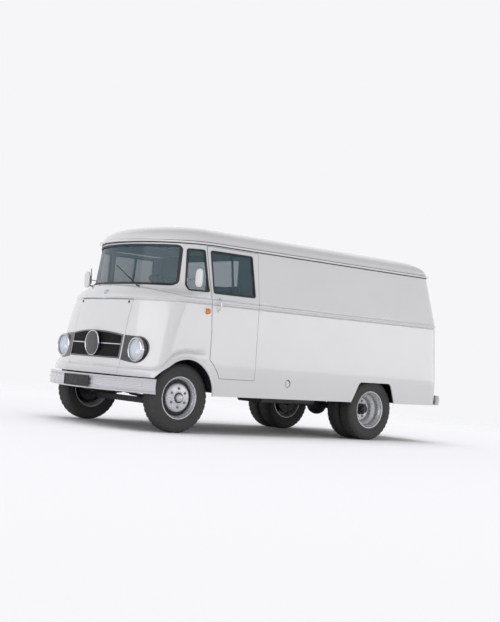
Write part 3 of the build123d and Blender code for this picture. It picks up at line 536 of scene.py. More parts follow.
# Each entry: colours as sRGB hex, typical roughness, metal and IOR of the real stuff, and the
# real size in mm of its patches (slow colour change) and its grain (surface relief).
FINISHES = {
    # Alkyd enamel, sprayed and polished: a wet white gloss with a trace of orange peel.
    "enamel_white": dict(colour="#D2D2D3", shade="#CACACB", patch=700, rough=0.20, spread=0.05, coat=0.8,
                         coat_rough=0.04, grain=7, relief=0.012, wear="#BDBDBF", worn=0.15),
    # The same enamel on the bumper blades, greyer from painted shade, and less polished.
    "shaded_bumper_enamel": dict(colour="#C4C4C8", shade="#BBBBBF", patch=400, rough=0.3, spread=0.05, coat=0.4,
                          coat_rough=0.1, grain=9, relief=0.01),
    # Primer and inner enamel of the load space: flat, slightly dusty grey-white.
    "primer_inner": dict(colour="#65757B", shade="#58686E", patch=220, rough=0.62, spread=0.12, grain=4,
                         relief=0.05, wear="#77797A", worn=0.5),
    # Embossed vinyl trim and painted metal of the cab: soft mid grey.
    "vinyl_trim": dict(colour="#4D5C62", shade="#425158", patch=90, rough=0.55, spread=0.1, grain=2.4, relief=0.25,
                       wear="#5E6C72", worn=0.3),
    # Birch plywood boards, varnished and scuffed.
    "plywood_board": dict(colour="#8E7B60", shade="#75644D", patch=60, stretch=(14, 0.5, 14), rough=0.58, spread=0.15,
                          grain=6, relief=0.2, wear="#A5947A", worn=0.5),
    # Black bitumen-based chassis paint with road dust in the hollows.
    "bitumen_black": dict(colour="#17181A", shade="#26262A", patch=80, rough=0.58, spread=0.2, grain=5,
                          relief=0.4, wear="#3A3937", worn=0.6),
    # Hot-rolled spring steel, oiled.
    "spring_steel": dict(colour="#2A2B2D", shade="#3A3733", patch=40, rough=0.45, spread=0.15, metallic=0.7, grain=3,
                         relief=0.3, wear="#56524C", worn=0.6),
    # Aluminised exhaust pipe, dulled by heat.
    "exhaust_steel": dict(colour="#6E6A64", shade="#4C4038", patch=90, rough=0.5, spread=0.15, metallic=0.8, grain=3,
                          relief=0.25, wear="#8C867E", worn=0.4),
    # Sand-cast iron, painted grey-black.
    "cast_iron": dict(colour="#2D2E30", shade="#3B3A38", patch=50, rough=0.65, spread=0.15, metallic=0.35, grain=2,
                      relief=0.6, wear="#5B5A57", worn=0.5),
    # Grained artificial leather stretched over foam.
    "leathercloth": dict(colour="#3B3E40", shade="#2E3133", patch=120, rough=0.48, spread=0.12, sheen=0.1, grain=3,
                         cells=True, relief=0.6, wear="#54585A", worn=0.5),
    # Tinted laminated glass: blue-green grey, mirror smooth.
    "tinted_glass": dict(colour="#405963", shade="#465F69", patch=900, rough=0.03, spread=0.01, ior=1.5, alpha=0.4,
                         grain=400, relief=0.0),
    # Frosted sheet over the bulkhead windows: pale, with a painted glow standing in for the daylight that comes through
    # those windows.
    "pale_panes_painted_light": dict(colour="#C9CED1", shade="#BDC3C7", patch=200, rough=0.5, spread=0.1, grain=5, relief=0.05,
                            painted_glow=2.1),
    # Extruded EPDM rubber: matt black with a faint bloom.
    "epdm_rubber": dict(colour="#141516", shade="#1E2021", patch=60, rough=0.55, spread=0.12, grain=1.5, relief=0.15,
                        wear="#2B2D2E", worn=0.5),
    # Nickel and chromium plate: a clear mirror with a cool cast.
    "chrome_plate": dict(colour="#D8DADD", shade="#C9CCD1", patch=60, rough=0.08, spread=0.05, metallic=1.0,
                         grain=30, relief=0.02, wear="#A3A6AA", worn=0.3),
    # Brushed and lacquered grey metal of the grille frame.
    "lacquered_alloy": dict(colour="#6F7073", shade="#5C5D60", patch=60, stretch=(1, 12, 12), rough=0.32, spread=0.1,
                            metallic=0.8, grain=3, relief=0.08, wear="#8D8E91", worn=0.4),
    # Stove-enamelled steel mesh: near black, satin.
    "stoved_black": dict(colour="#101112", shade="#1B1C1D", patch=40, rough=0.4, spread=0.12, grain=2.5, relief=0.12,
                         wear="#2A2B2C", worn=0.5),
    # Dark grey gloss of the lamp surrounds and the centre disc.
    "gloss_charcoal": dict(colour="#232325", shade="#1D1D1F", patch=150, rough=0.28, spread=0.06, coat=0.5,
                           coat_rough=0.08, grain=6, relief=0.02, wear="#55565A", worn=0.35),
    # Pressed headlamp glass with a cool cast, ribbed on its inner face.
    "lamp_glass": dict(colour="#4A5CB4", shade="#7C90D8", patch=60, rough=0.05, spread=0.02, ior=1.5, alpha=0.6,
                       grain=16, bars=True, relief=0.5),
    # Moulded acrylic, amber.
    "amber_acrylic": dict(colour="#E08420", shade="#C96F14", patch=20, rough=0.15, spread=0.04, ior=1.49, grain=5,
                          rings=True, relief=0.4),
    # Moulded acrylic, red.
    "red_acrylic": dict(colour="#A51B1B", shade="#8D1414", patch=20, rough=0.15, spread=0.04, ior=1.49, grain=6,
                        rings=True, relief=0.4),
    # Cured tyre rubber: charcoal, dull, dusty between the blocks.
    "tyre_rubber": dict(colour="#151516", shade="#1C1B1B", patch=60, rough=0.78, spread=0.1, grain=2.2, relief=0.3,
                        wear="#33322F", worn=0.5),
    # Wheel steel sprayed aluminium-silver.
    "silver_lacquer": dict(colour="#C6C7C9", shade="#B4B5B8", patch=50, rough=0.3, spread=0.1, metallic=0.45, coat=0.4,
                           coat_rough=0.12, grain=3, relief=0.06, wear="#8F8F90", worn=0.6),
    # Zinc-plated lever and rod steel.
    "zinc_steel": dict(colour="#8C8D8F", shade="#747577", patch=30, rough=0.38, spread=0.12, metallic=0.9, grain=2,
                       relief=0.15, wear="#A8A9AB", worn=0.5),
    # Moulded phenolic plastic of the steering wheel and knobs.
    "phenolic_black": dict(colour="#1D1E20", shade="#252628", patch=40, rough=0.33, spread=0.08, grain=2, relief=0.05,
                           wear="#38393B", worn=0.4),
    # Silvered mirror glass.
    "silvered_glass": dict(colour="#DDE3E6", shade="#D4DBDF", patch=200, rough=0.02, spread=0.01, metallic=1.0,
                           grain=100, relief=0.0),
    # Plain backing paint of the blank number plates.
    "plate_paint": dict(colour="#121315", shade="#0F1012", patch=80, rough=0.55, spread=0.1, grain=3, relief=0.1,
                        wear="#4A4B4D", worn=0.5),
    # Vitreous enamel of the blank badge, cool white.
    "badge_enamel": dict(colour="#8FA2D0", shade="#B9C4DE", patch=15, rough=0.12, spread=0.03, coat=0.8,
                         coat_rough=0.03, grain=6, relief=0.02),
}


def finish(name):
    """The named material, built once from its entry in the table."""
    if name in bpy.data.materials:
        return bpy.data.materials[name]
    spec = FINISHES[name]
    material = bpy.data.materials.new(name)
    material.use_nodes = True
    tree = material.node_tree
    tree.nodes.clear()
    place = add(tree, "ShaderNodeTexCoord")
    source = place.outputs["Object"]
    if "stretch" in spec:
        source = add(tree, "ShaderNodeMapping", {"Scale": spec["stretch"]}, {"Vector": source}).outputs[0]
    patch = add(tree, "ShaderNodeTexNoise", {"Scale": 1000 / spec["patch"], "Detail": 4.0, "Roughness": 0.6},
                {"Vector": source})
    tone = add(tree, "ShaderNodeMix", {"data_type": "RGBA", 6: (*linear(spec["colour"]), 1),
                                       7: (*linear(spec["shade"]), 1)}, {0: patch.outputs[0]})
    colour = tone.outputs[2]
    if "wear" in spec:
        point = add(tree, "ShaderNodeNewGeometry")
        edge = add(tree, "ShaderNodeMapRange", {"From Min": 0.52, "From Max": 0.62, "To Max": spec["worn"]},
                   {"Value": point.outputs["Pointiness"]})
        rub = add(tree, "ShaderNodeTexNoise", {"Scale": 1000 / 25, "Detail": 3.0}, {"Vector": source})
        amount = add(tree, "ShaderNodeMath", {"operation": "MULTIPLY"}, {0: edge.outputs[0], 1: rub.outputs[0]})
        worn = add(tree, "ShaderNodeMix", {"data_type": "RGBA", 7: (*linear(spec["wear"]), 1)},
                   {0: amount.outputs[0], 6: colour})
        colour = worn.outputs[2]
    shader = add(tree, "ShaderNodeBsdfPrincipled", {
        "Metallic": spec.get("metallic", 0.0), "Alpha": spec.get("alpha", 1.0),
        "Coat Weight": spec.get("coat", 0.0), "Coat Roughness": spec.get("coat_rough", 0.03),
        "Sheen Weight": spec.get("sheen", 0.0)}, {"Base Color": colour})
    # Emission on a part that is no lamp: painted light, not a real lamp.
    if "painted_glow" in spec:
        shader.inputs["Emission Color"].default_value = (*linear(spec["colour"]), 1)
        shader.inputs["Emission Strength"].default_value = spec["painted_glow"]
    if "ior" in spec:
        shader.inputs["IOR"].default_value = spec["ior"]
    low, high = max(spec["rough"] - spec["spread"], 0.01), spec["rough"] + spec["spread"]
    cloud = add(tree, "ShaderNodeTexNoise", {"Scale": 1000 / (spec["patch"] * 0.4), "Detail": 3.0},
                {"Vector": source})
    rough = add(tree, "ShaderNodeMapRange", {"From Min": 0.3, "From Max": 0.7, "To Min": low, "To Max": high},
                {"Value": cloud.outputs[0]})
    tree.links.new(rough.outputs[0], shader.inputs["Roughness"])
    if spec["relief"]:
        if spec.get("cells"):
            grain = add(tree, "ShaderNodeTexVoronoi", {"Scale": 1000 / spec["grain"]}, {"Vector": source}).outputs[0]
        elif spec.get("bars"):
            grain = add(tree, "ShaderNodeTexWave", {"Scale": 1000 / spec["grain"] / 6.28, "bands_direction": "X"},
                        {"Vector": source}).outputs[1]
        elif spec.get("rings"):
            grain = add(tree, "ShaderNodeTexWave", {"Scale": 1000 / spec["grain"] / 6.28, "bands_direction": "Z"},
                        {"Vector": source}).outputs[1]
        else:
            grain = add(tree, "ShaderNodeTexNoise", {"Scale": 1000 / spec["grain"], "Detail": 2.0},
                        {"Vector": source}).outputs[0]
        bump = add(tree, "ShaderNodeBump", {"Strength": min(spec["relief"] * 1.5, 1.0),
                                            "Distance": spec["relief"] * MM}, {"Height": grain})
        tree.links.new(bump.outputs[0], shader.inputs["Normal"])
    out = add(tree, "ShaderNodeOutputMaterial", links={"Surface": shader.outputs[0]})
    out.is_active_output = True
    return material


def dress(material, *nodes):
    """Gives CAD nodes that keep their shape a finish."""
    for node in nodes:
        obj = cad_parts[node]
        obj = bpy.data.objects[obj] if isinstance(obj, str) else obj
        if not obj.data.materials:
            obj.data.materials.append(finish(material))
        for index in range(len(obj.data.materials)):
            obj.data.materials[index] = finish(material)


def keep(obj, slot, *nodes):
    """Hides the CAD nodes that a piece stands for; the slot argument is not used."""
    if nodes:
        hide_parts(*nodes)
    return obj


SIDES = (("left", 1), ("right", -1))


# ------------------------------------------------------------------ settings
class TruckSizes(bpy.types.PropertyGroup):
    seal_width: bpy.props.FloatProperty(
        name="Window channel", description="Width of the rubber channel round the door window, in mm", default=16.0)
    gutter_stand: bpy.props.FloatProperty(
        name="Drip rail", description="How far the drip rail stands out from the roof edge, in mm", default=26.0)
    tread_depth: bpy.props.FloatProperty(
        name="Tread depth", description="Depth of the tyre grooves, in mm", default=9.0)
    slat_pitch: bpy.props.FloatProperty(
        name="Grille pitch", description="Distance from one grille slat to the next, in mm", default=14.0)
    floor_half: bpy.props.FloatProperty(
        name="Floor", description="Half width of the studio floor", default=120.0, unit="LENGTH")


class TruckColours(bpy.types.PropertyGroup):
    floor: bpy.props.FloatVectorProperty(
        name="Floor", description="Colour of the studio floor", subtype="COLOR", default=linear("#F1F1F3"))
    backdrop: bpy.props.FloatVectorProperty(
        name="Backdrop", description="Colour of the studio round the van", subtype="COLOR",
        default=linear("#F6F6F8"))


class TruckOperator:
    """What every building step shares."""
    bl_options = {"REGISTER", "UNDO"}

    def execute(self, context):
        self.build(context.scene.truck_sizes)
        return {"FINISHED"}


# ------------------------------------------------------------------ body panels
class TRUCK_OT_body_shell(TruckOperator, bpy.types.Operator):
    """Welded shell: nose, pillars, sides and rear frame in one pressed surface"""
    bl_idname = "truck.body_shell"
    bl_label = "Body shell"

    def build(self, sizes):
        high_z, low_z = 1904, 614
        front_arch = arc((ARCH_Y, ARCH_Z), ARCH_R, 153.84, 0.62, 56)
        rear_arch = rounded([(2462, SILL_Z), (2566, 634), (3100, 634), (3205, SILL_Z)], [0, 70, 70, 0])
        tail = np.linspace(side_s(np.array([3230.0]), SILL_Z)[0], tail_s(0.0, SILL_Z)[0], 90)
        top = np.linspace(tail_s(0.0, GUTTER_Z)[0], nose_s(0.0, GUTTER_Z)[0], 240)
        screen = rounded([(0, 1958), (770, 1958), (800, 1520), (0, 1520)], [0, 60, 60, 0])
        outer = np.vstack([
            on_skin([(HATCH_HALF, VALANCE_Z), (940, VALANCE_Z)], nose_s, closed=False),
            on_skin(front_arch, side_s, closed=False),
            on_skin([(386, SILL_Z), (2442, SILL_Z)], side_s, closed=False),
            on_skin(rear_arch, side_s, closed=False),
            np.column_stack([tail, np.full(90, SILL_Z)]),
            on_skin([(0, SILL_Z + 20), (0, low_z), (739, low_z), (739, high_z), (0, high_z), (0, GUTTER_Z - 15)],
                    tail_s, closed=False),
            np.column_stack([top, np.full(240, GUTTER_Z)]),
            on_skin(screen, nose_s, closed=False),
            on_skin([(0, 1500), (0, HATCH_TOP), (HATCH_HALF, HATCH_TOP), (HATCH_HALF, VALANCE_Z + 20)], nose_s,
                    closed=False)])
        holes = [on_skin(rounded([(20, 1478), (250, 1478), (216, 1926), (48, 1926)], 24), side_s),
                 on_skin(door_loop(4), side_s),
                 on_skin(arc((LAMP_X, LAMP_Z), LAMP_R + 1, 0, 354, 60), nose_s),
                 on_skin(arc((1425, 570), 42, 0, 348, 30), side_s)]
        shell = both_halves(*panel_mesh(outer, holes))
        keep(piece("body_shell", *shell, finish("enamel_white"), "van"), "body_paint", "nose_panel",
             "windscreen_frame", "side_panel_left", "side_panel_right", "rear_frame")


class TRUCK_OT_cab_doors(TruckOperator, bpy.types.Operator):
    """Rear-hinged cab doors with their window channels and pane dividers"""
    bl_idname = "truck.cab_doors"
    bl_label = "Cab doors"

    def build(self, sizes):
        window = [(300, 1470), (884, 1470), (850, 1926), (272, 1926)]
        centre = np.array([577, 1698])

        def opening(shrink):
            away = [np.sign(np.array(p) - centre) * shrink for p in window]
            return on_skin(rounded([tuple(np.array(p) - a) for p, a in zip(window, away)], 26 - shrink * 0.3), side_s)
        leaf = panel_mesh(on_skin(door_loop(0, 3.5), side_s), [opening(0)], depth=24)
        channel = panel_mesh(opening(0.4), [opening(sizes.seal_width)], depth=17, extra=3.5)
        strip = panel_mesh(on_skin([(572, 1478), (590, 1478), (590, 1918), (572, 1918)], side_s), [], depth=9,
                           extra=-14)
        for side, sign in SIDES:
            put = (lambda m: m) if sign > 0 else (lambda m: mirrored(*m))
            body = "cab_door_" + side
            keep(piece("cab_door_panel_" + side, *put(leaf), finish("enamel_white"), body), "body_paint", body)
            keep(piece("door_window_channel_" + side, *put(channel), finish("epdm_rubber"), body), "seal_rubber")
            keep(piece("pane_divider_" + side, *put(strip), finish("epdm_rubber"), "sliding_pane_" + side),
                 "seal_rubber")


class TRUCK_OT_bonnet_hatch(TruckOperator, bpy.types.Operator):
    """Removable nose hatch with its locks, and the blank badge above it"""
    bl_idname = "truck.bonnet_hatch"
    bl_label = "Bonnet hatch"

    def build(self, sizes):
        outer = on_skin([(0, 1345), (496, 1345), (496, 558), (0, 558)] + grille_half(0), nose_s)
        hatch = both_halves(*panel_mesh(outer, [], depth=20))
        keep(piece("hatch_panel", *hatch, finish("enamel_white"), "bonnet_hatch"), "body_paint", "bonnet_hatch")
        locks = Shape()
        for sign in (1, -1):
            at, out = skin([nose_s(448.0, 1322)[0]], [1322.0], 1)
            locks.dial([(0, 0.5), (0, 13), (4, 13), (6, 10), (6, 4), (3, 3), (3, 0.5)],
                       (sign * at[0, 0], at[0, 1], at[0, 2]), 24)
        keep(locks.make("hatch_locks", finish("stoved_black"), "bonnet_hatch"), "lever_steel")
        at, out = skin([nose_s(0.0, 1424)[0]], [1424.0], 0)
        centre, out = Vector(at[0]), Vector(out[0])
        rise = Vector((1, 0, 0)).cross(out) * -1
        rise = rise if rise.z > 0 else -rise
        badge = Shape()
        shield = [(-24, 26), (24, 26), (25, 2), (14, -22), (0, -34), (-14, -22), (-25, 2)]
        outline = rounded(shield, [6, 6, 10, 8, 6, 8, 10], 4)
        rows = []
        for push, share in ((4, 1), (-8, 1), (-12, 0.88), (-13, 0.8), (-15, 0.4), (-15.5, 0.03)):
            rows.append([tuple(centre - out * push + Vector((x * share, 0, 0)) + rise * (z * share))
                         for x, z in outline])
        badge.grid(rows, close_v=True, cap=True)
        keep(badge.make("nose_badge", finish("badge_enamel"), "van"), "chrome")


def grille_half(shrink):
    """Left half of the grille opening from its foot on the centre line to its crown."""
    half, low, edge, crown = 478 - shrink, 722 + shrink, 975 - shrink, 1012 - shrink
    radius = (half ** 2 + (crown - edge) ** 2) / (2 * (crown - edge))
    top = [(x, crown - radius + math.sqrt(radius ** 2 - x ** 2)) for x in np.linspace(half, 0, 16)]
    return [(0, low), (half, low)] + top


class TRUCK_OT_rear_doors(TruckOperator, bpy.types.Operator):
    """Two rear doors with a window each and a handle"""
    bl_idname = "truck.rear_doors"
    bl_label = "Rear doors"

    def build(self, sizes):
        outer = on_skin(rounded([(2.2, 618), (735, 618), (735, 1893), (2.2, 1893)], 8, 3), tail_s)

        def opening(shrink):
            return on_skin(rounded([(190 + shrink, 1500 + shrink), (560 - shrink, 1500 + shrink),
                                    (560 - shrink, 1800 - shrink), (190 + shrink, 1800 - shrink)],
                                   40 - shrink * 0.4), tail_s)
        leaf = panel_mesh(outer, [opening(0)], depth=24)
        channel = panel_mesh(opening(0.4), [opening(15)], depth=18, extra=3.5)
        pane = panel_mesh(opening(6), [], depth=5, extra=-7)
        for side, sign in SIDES:
            put = (lambda m: m) if sign > 0 else (lambda m: mirrored(*m))
            body = "rear_door_" + side
            keep(piece("rear_door_panel_" + side, *put(leaf), finish("enamel_white"), body), "body_paint", body)
            keep(piece("rear_window_channel_" + side, *put(channel), finish("epdm_rubber"), body), "seal_rubber")
            keep(piece("rear_window_pane_" + side, *put(pane), finish("tinted_glass"), body), "window_glass")
        handle = Shape()
        for z in (1090, 1150):
            at, _ = skin([tail_s(45.0, z)[0]], [float(z)], 0)
            handle.tube([(-45, at[0, 1] - 2, z), (-45, at[0, 1] + 26, z)], 8, 16)
        at, _ = skin([tail_s(45.0, 1120)[0]], [1120.0], 0)
        handle.tube([(-45, at[0, 1] + 30, z) for z in (1040, 1046, 1070, 1120, 1170, 1194, 1200)],
                    [4, 8, 9, 10, 9, 8, 4], 16)
        keep(handle.make("rear_door_handle", finish("chrome_plate"), "rear_door_right"), "chrome")


class TRUCK_OT_roof(TruckOperator, bpy.types.Operator):
    """Crowned roof skin and the drip rail round it, peaked over the windscreen"""
    bl_idname = "truck.roof"
    bl_label = "Roof"

    def ring(self, share, inset):
        reach = 914 - inset
        step = share * reach
        half, nose, depth, tail = reach - step, -245 + inset + step, 600 - inset - 0.65 * step, 3820 - inset - step
        corner = min(max(CORNER_R - inset - 0.1 * step, 20), half * 0.98)
        rise = (225 - inset) * (1 - (1 - share) ** 2.5) ** 0.4
        z = 1993.5 - (inset > 0) * 1 + rise
        left = [(half * math.sin(t), nose + depth - depth * math.cos(t), z)
                for t in np.linspace(0, math.pi / 2, 36)]
        left += [(half, y, z) for y in np.linspace(nose + depth, tail - corner, 56)[1:]]
        left += [(half - corner + corner * math.cos(t), tail - corner + corner * math.sin(t), z)
                 for t in np.linspace(0, math.pi / 2, 10)[1:]]
        left += [(x, tail, z) for x in np.linspace(half - corner, 0, 20)[1:]]
        return left + [(-x, y, z) for x, y, z in left[-2:0:-1]]

    def build(self, sizes):
        shares = (np.arange(30) / 29) ** 2.2
        rows = [self.ring(share, SHEET) for share in shares[::-1]] + [self.ring(share, 0) for share in shares]
        roof = Shape().grid(rows, close_v=True).make("roof_skin", finish("enamel_white"), "van")
        made = bmesh.new()
        made.from_mesh(roof.data)
        bmesh.ops.remove_doubles(made, verts=made.verts[:], dist=0.0006)
        bmesh.ops.recalc_face_normals(made, faces=made.faces[:])
        made.to_mesh(roof.data)
        made.free()
        roof.data.set_sharp_from_angle(angle=math.radians(38))
        keep(roof, "body_paint", "roof_panel")
        stand = sizes.gutter_stand
        profile = [(-4, 1996), (-4, 1983), (stand - 6, 1981.5), (stand - 1, 1983), (stand + 2, 1988), (stand + 3, 1999),
                   (stand + 1, 2001), (stand - 1.5, 1999), (stand - 3, 1989), (2, 1991)]
        rows = []
        for offset, z in profile:
            line = [(x, y, z) for x, y in plan_path(offset)]
            rows.append(line + [(-x, y, z) for x, y, z in line[-2:0:-1]])
        rail = Shape().grid(rows, close_u=True, close_v=True).make("drip_rail", finish("enamel_white"), "van",
                                                                 flip=True)
        keep(rail, "body_paint")
        # Two thin dark strips in the rubber finish, one on the body under the rail and one at the roof's foot above it:
        # painted shade in the joints between rail, body and roof.
        lines = Shape()
        for profile in ([(-3, 1972), (4, 1973), (5, 1981.5), (-3, 1982)],
                        [(-2, 2000), (3, 2001), (2.5, 2009), (-2, 2010)]):
            rows = []
            for offset, z in profile:
                line = [(x, y, z) for x, y in plan_path(offset)]
                rows.append(line + [(-x, y, z) for x, y, z in line[-2:0:-1]])
            lines.grid(rows[::-1], close_u=True, close_v=True)
        keep(lines.make("drip_rail_sealant", finish("epdm_rubber"), "van", flip=True), "seal_rubber")


# ------------------------------------------------------------------ nose fittings
class TRUCK_OT_grille(TruckOperator, bpy.types.Operator):
    """Grille frame, fine slats, cross bar, plain centre disc and the charcoal lamp surrounds"""
    bl_idname = "truck.grille"
    bl_label = "Grille"

    def build(self, sizes):
        rows = np.arange(724, 1012, 18)
        outer, inner = grille_half(1), grille_half(15)
        loop = on_skin(outer + inner[::-1], nose_s)
        surround = both_halves(*panel_mesh(loop, [], depth=16, extra=6, rows=rows))
        keep(piece("grille_frame", *surround, finish("lacquered_alloy"), "bonnet_hatch"), "chrome", "grille")
        back = both_halves(*panel_mesh(on_skin(grille_half(4), nose_s), [], depth=3, extra=-26, rows=rows))
        keep(piece("grille_back", *back, finish("stoved_black"), "bonnet_hatch"), "grille_black")
        slats = Shape()
        for x in np.arange(-460, 461, sizes.slat_pitch):
            crown = 1012 - 37 * (x / 478) ** 2
            z = np.linspace(728, crown - 6, 9)
            s = nose_s(np.full(9, abs(x)), z)
            front, _ = skin(s, z, -5)
            rear, _ = skin(s, z, -16)
            sign = 1 if x >= 0 else -1
            rows_ = [[(sign * f[0] - 1.8, f[1], f[2]), (sign * f[0] + 1.8, f[1], f[2]),
                      (sign * f[0] + 1.8, b[1], b[2]), (sign * f[0] - 1.8, b[1], b[2])] for f, b in zip(front, rear)]
            slats.grid(rows_, close_v=True, cap=True)
        for z in np.arange(748, 1000, 2 * sizes.slat_pitch):
            reach = 462 if z < 968 else 478 * math.sqrt(max((1010 - z) / 37, 0.02)) - 8
            x = np.linspace(-reach, reach, 33)
            at, _ = skin(nose_s(np.abs(x), np.full(33, z)), np.full(33, z), -11)
            slats.tube([(math.copysign(p[0], v), p[1], p[2]) for p, v in zip(at, x)], 2.0, 6)
        keep(slats.make("grille_slats", finish("stoved_black"), "bonnet_hatch"), "grille_black")
        bar = Shape()
        for sign in (1, -1):
            x = np.linspace(128, 464, 20)
            at, _ = skin(nose_s(x, np.full(20, 873.0)), np.full(20, 873.0), 1)
            bar.tube([(sign * p[0], p[1], p[2]) for p in at], 7.5, 14)
        centre = (0, -512, 870)
        bar.dial([(2, 124), (10, 123.5), (14, 126), (15.5, 130), (13, 134), (6, 135.5), (-4, 134)], centre, 96)
        keep(bar.make("grille_bar", finish("chrome_plate"), "bonnet_hatch"), "chrome")
        plate = Shape().dial([(-4, 124.5), (6, 124), (8, 118), (9.5, 70), (10, 0.5), (-4, 0.5)], centre, 96)
        keep(plate.make("grille_disc", finish("gloss_charcoal"), "bonnet_hatch"), "grille_black")
        lamp = arc((LAMP_X, LAMP_Z), 139, 100, -100, 40)
        outline = [(504, 972), (600, 969)] + lamp + [(600, 700), (504, 712)]
        hole = on_skin(arc((LAMP_X, LAMP_Z), LAMP_R + 2, 0, 354, 60), nose_s)
        pod = panel_mesh(on_skin(outline, nose_s), [hole], depth=9, extra=4, rows=rows)
        for side, sign in SIDES:
            put = pod if sign > 0 else mirrored(*pod)
            keep(piece("lamp_surround_" + side, *put, finish("gloss_charcoal"), "van"), "grille_black")


class TRUCK_OT_headlamps(TruckOperator, bpy.types.Operator):
    """Headlamps: pod, chrome bezel, reflector, bulb and ribbed domed glass"""
    bl_idname = "truck.headlamps"
    bl_label = "Headlamps"

    def build(self, sizes):
        bezel_profile = [(92, 126.5), (112, 127), (119, 125.5), (124, 121), (126, 115), (124, 110), (118, 107.5),
                         (110, 107.5), (106, 112), (94, 118)]
        pod_profile = [(0, 60), (0, 118), (30, 123), (108, 125.5), (108, 122), (32, 119), (8, 114), (8, 60)]
        bowl_profile = [(103, 110), (96, 107.5), (78, 98), (56, 82), (38, 62), (26, 40), (20, 22), (18, 10), (14, 10),
                        (16, 24), (22, 42), (34, 65), (52, 86), (74, 102), (94, 112)]
        dome = [(math.sqrt(262 ** 2 - r ** 2) - 262 + 130, r) for r in (0.5, 20, 40, 60, 78, 94, 104, 107.2)]
        back = [(forward - 5, radius) for forward, radius in dome[::-1]]
        bulb = [(16, 0.5), (16, 14), (40, 15), (58, 14), (66, 9), (69, 0.5)]
        for side, sign in SIDES:
            centre = (sign * LAMP_X, LAMP_Y, LAMP_Z)
            for name, outline, material, slot in (
                    ("bezel", bezel_profile, "chrome_plate", "chrome"),
                    ("pod", pod_profile, "gloss_charcoal", "chrome"),
                    ("reflector", bowl_profile, "chrome_plate", "chrome"), ("bulb", bulb, "lamp_glass", "lamp_glass"),
                    ("glass", dome + back, "lamp_glass", "lamp_glass")):
                made = Shape().dial(outline, centre, 96)
                obj = made.make("headlamp_%s_%s" % (name, side), finish(material), "van")
                keep(obj, slot)
                if name == "bezel" and side == "left":
                    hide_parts("headlamp_rims")
                if name == "glass" and side == "left":
                    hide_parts("lamp_lenses")


class TRUCK_OT_signal_lamps(TruckOperator, bpy.types.Operator):
    """Amber indicators on the pillars and red tail lamps"""
    bl_idname = "truck.signal_lamps"
    bl_label = "Signal lamps"

    def build(self, sizes):
        for side, sign in SIDES:
            base = Shape().spun([(-2, 20), (0, 37), (4, 37.5), (7, 35), (7, 20)], (sign * 1000.5, 227, 1279), 48,
                                side=sign)
            keep(base.make("indicator_base_" + side, finish("chrome_plate"), "van"), "chrome")
            lens = Shape().spun([(4, 0.5), (4, 33), (14, 32), (20, 27), (24, 16), (25.5, 0.5)],
                                (sign * 1000.5, 227, 1279), 48, side=sign)
            keep(lens.make("indicator_lens_" + side, finish("amber_acrylic"), "van"), "lamp_glass")
            at, _ = skin([tail_s(840.0, 800)[0]], [800.0], 0)
            centre = (sign * 840, at[0, 1], 800)
            rim = Shape().dial([(3, 30), (-4, 50), (-16, 50), (-19, 47), (-16, 44), (-6, 43)], centre, 56)
            keep(rim.make("tail_lamp_rim_" + side, finish("chrome_plate"), "van", flip=True), "chrome")
            red = Shape().dial([(0, 0.5), (0, 43.5), (-18, 42), (-25, 34), (-29, 18), (-30, 0.5)], centre, 56)
            keep(red.make("tail_lamp_lens_" + side, finish("red_acrylic"), "van", flip=True), "lamp_glass")


class TRUCK_OT_bumpers(TruckOperator, bpy.types.Operator):
    """Ribbed front and rear bumper blades, their brackets and the blank number plates"""
    bl_idname = "truck.bumpers"
    bl_label = "Bumpers"

    def blade(self, path, low, high, name):
        mid = (low + high) / 2
        profile = [(-16, low + 6), (-6, low), (2, low + 1), (7, low + 6), (7, low + 15), (-3, low + 19),
                   (-3, low + 25), (7, low + 31), (7, low + 38), (-3, low + 46), (-5, mid - 10), (5, mid - 6),
                   (6, mid), (5, mid + 6), (-5, mid + 10), (-3, high - 46), (7, high - 38), (7, high - 31),
                   (-3, high - 25), (-3, high - 19), (7, high - 15), (7, high - 6), (2, high - 1), (-6, high),
                   (-16, high - 6), (-12, high - 8), (-11, mid), (-12, low + 8)]
        profile = [(o + 12 * (1 - ((z - mid) / (high - low) * 2) ** 2), z) for o, z in profile]
        rows = swept(path, profile)
        # The blades take a greyer copy of the body enamel: painted shade.
        keep(Shape().grid(rows, close_v=True, cap=True).make(name, finish("shaded_bumper_enamel"), "van"), "bumper_paint")

    def build(self, sizes):
        radius = (BUMPER_HALF ** 2 + BUMPER_BOW ** 2) / (2 * BUMPER_BOW)
        end = math.asin(BUMPER_HALF / radius)
        path = [(radius * math.sin(t), -650 + radius * (1 - math.cos(t)), math.sin(t), -math.cos(t))
                for t in np.linspace(-end, end, 65)]
        self.blade(path, 392, 545, "front_bumper_blade")
        bend = 60
        path = [(974, 3985 + k * 6, 1, 0) for k in range(5)]
        path += [(974 - bend + bend * math.cos(t), 4016 + bend * math.sin(t), math.cos(t), math.sin(t))
                 for t in np.linspace(0, math.pi / 2, 12)]
        path += [(x, 4076, 0, 1) for x in np.linspace(900, -900, 31)]
        path += [(-x, y, -ox, oy) for x, y, ox, oy in path[16::-1]]
        self.blade(path, 400, 520, "rear_bumper_blade")
        brackets, plates = Shape(), Shape()
        for x in (-RAIL_X, RAIL_X):
            brackets.block((x - 20, -604, 462), (x + 20, -451, 512), 4)
            brackets.block((x - 20, 3952, 470), (x + 20, 4066, 530), 4)
        obj = brackets.make("bumper_brackets", finish("bitumen_black"), "van")
        keep(obj, "underbody", "front_bumper", "rear_bumper")
        for y, low, high in ((-678, 410, 526), (4101, 404, 516)):
            plates.block((-240, y - 3, low), (240, y + 3, high), 2)
            face = y - 5 if y < 0 else y + 5
            for z in (low + 3, high - 3):
                plates.tube([(-236, face, z), (236, face, z)], 2.5, 8)
            for x in (-237, 237):
                plates.tube([(x, face, low + 3), (x, face, high - 3)], 2.5, 8)
            for x in (-180, 180):
                plates.hexagon((x, y + (-3 if y < 0 else 3), high - 14), (0, -1 if y < 0 else 1, 0), 6, 4)
        keep(plates.make("number_plates", finish("plate_paint"), "van"), "grille_black")


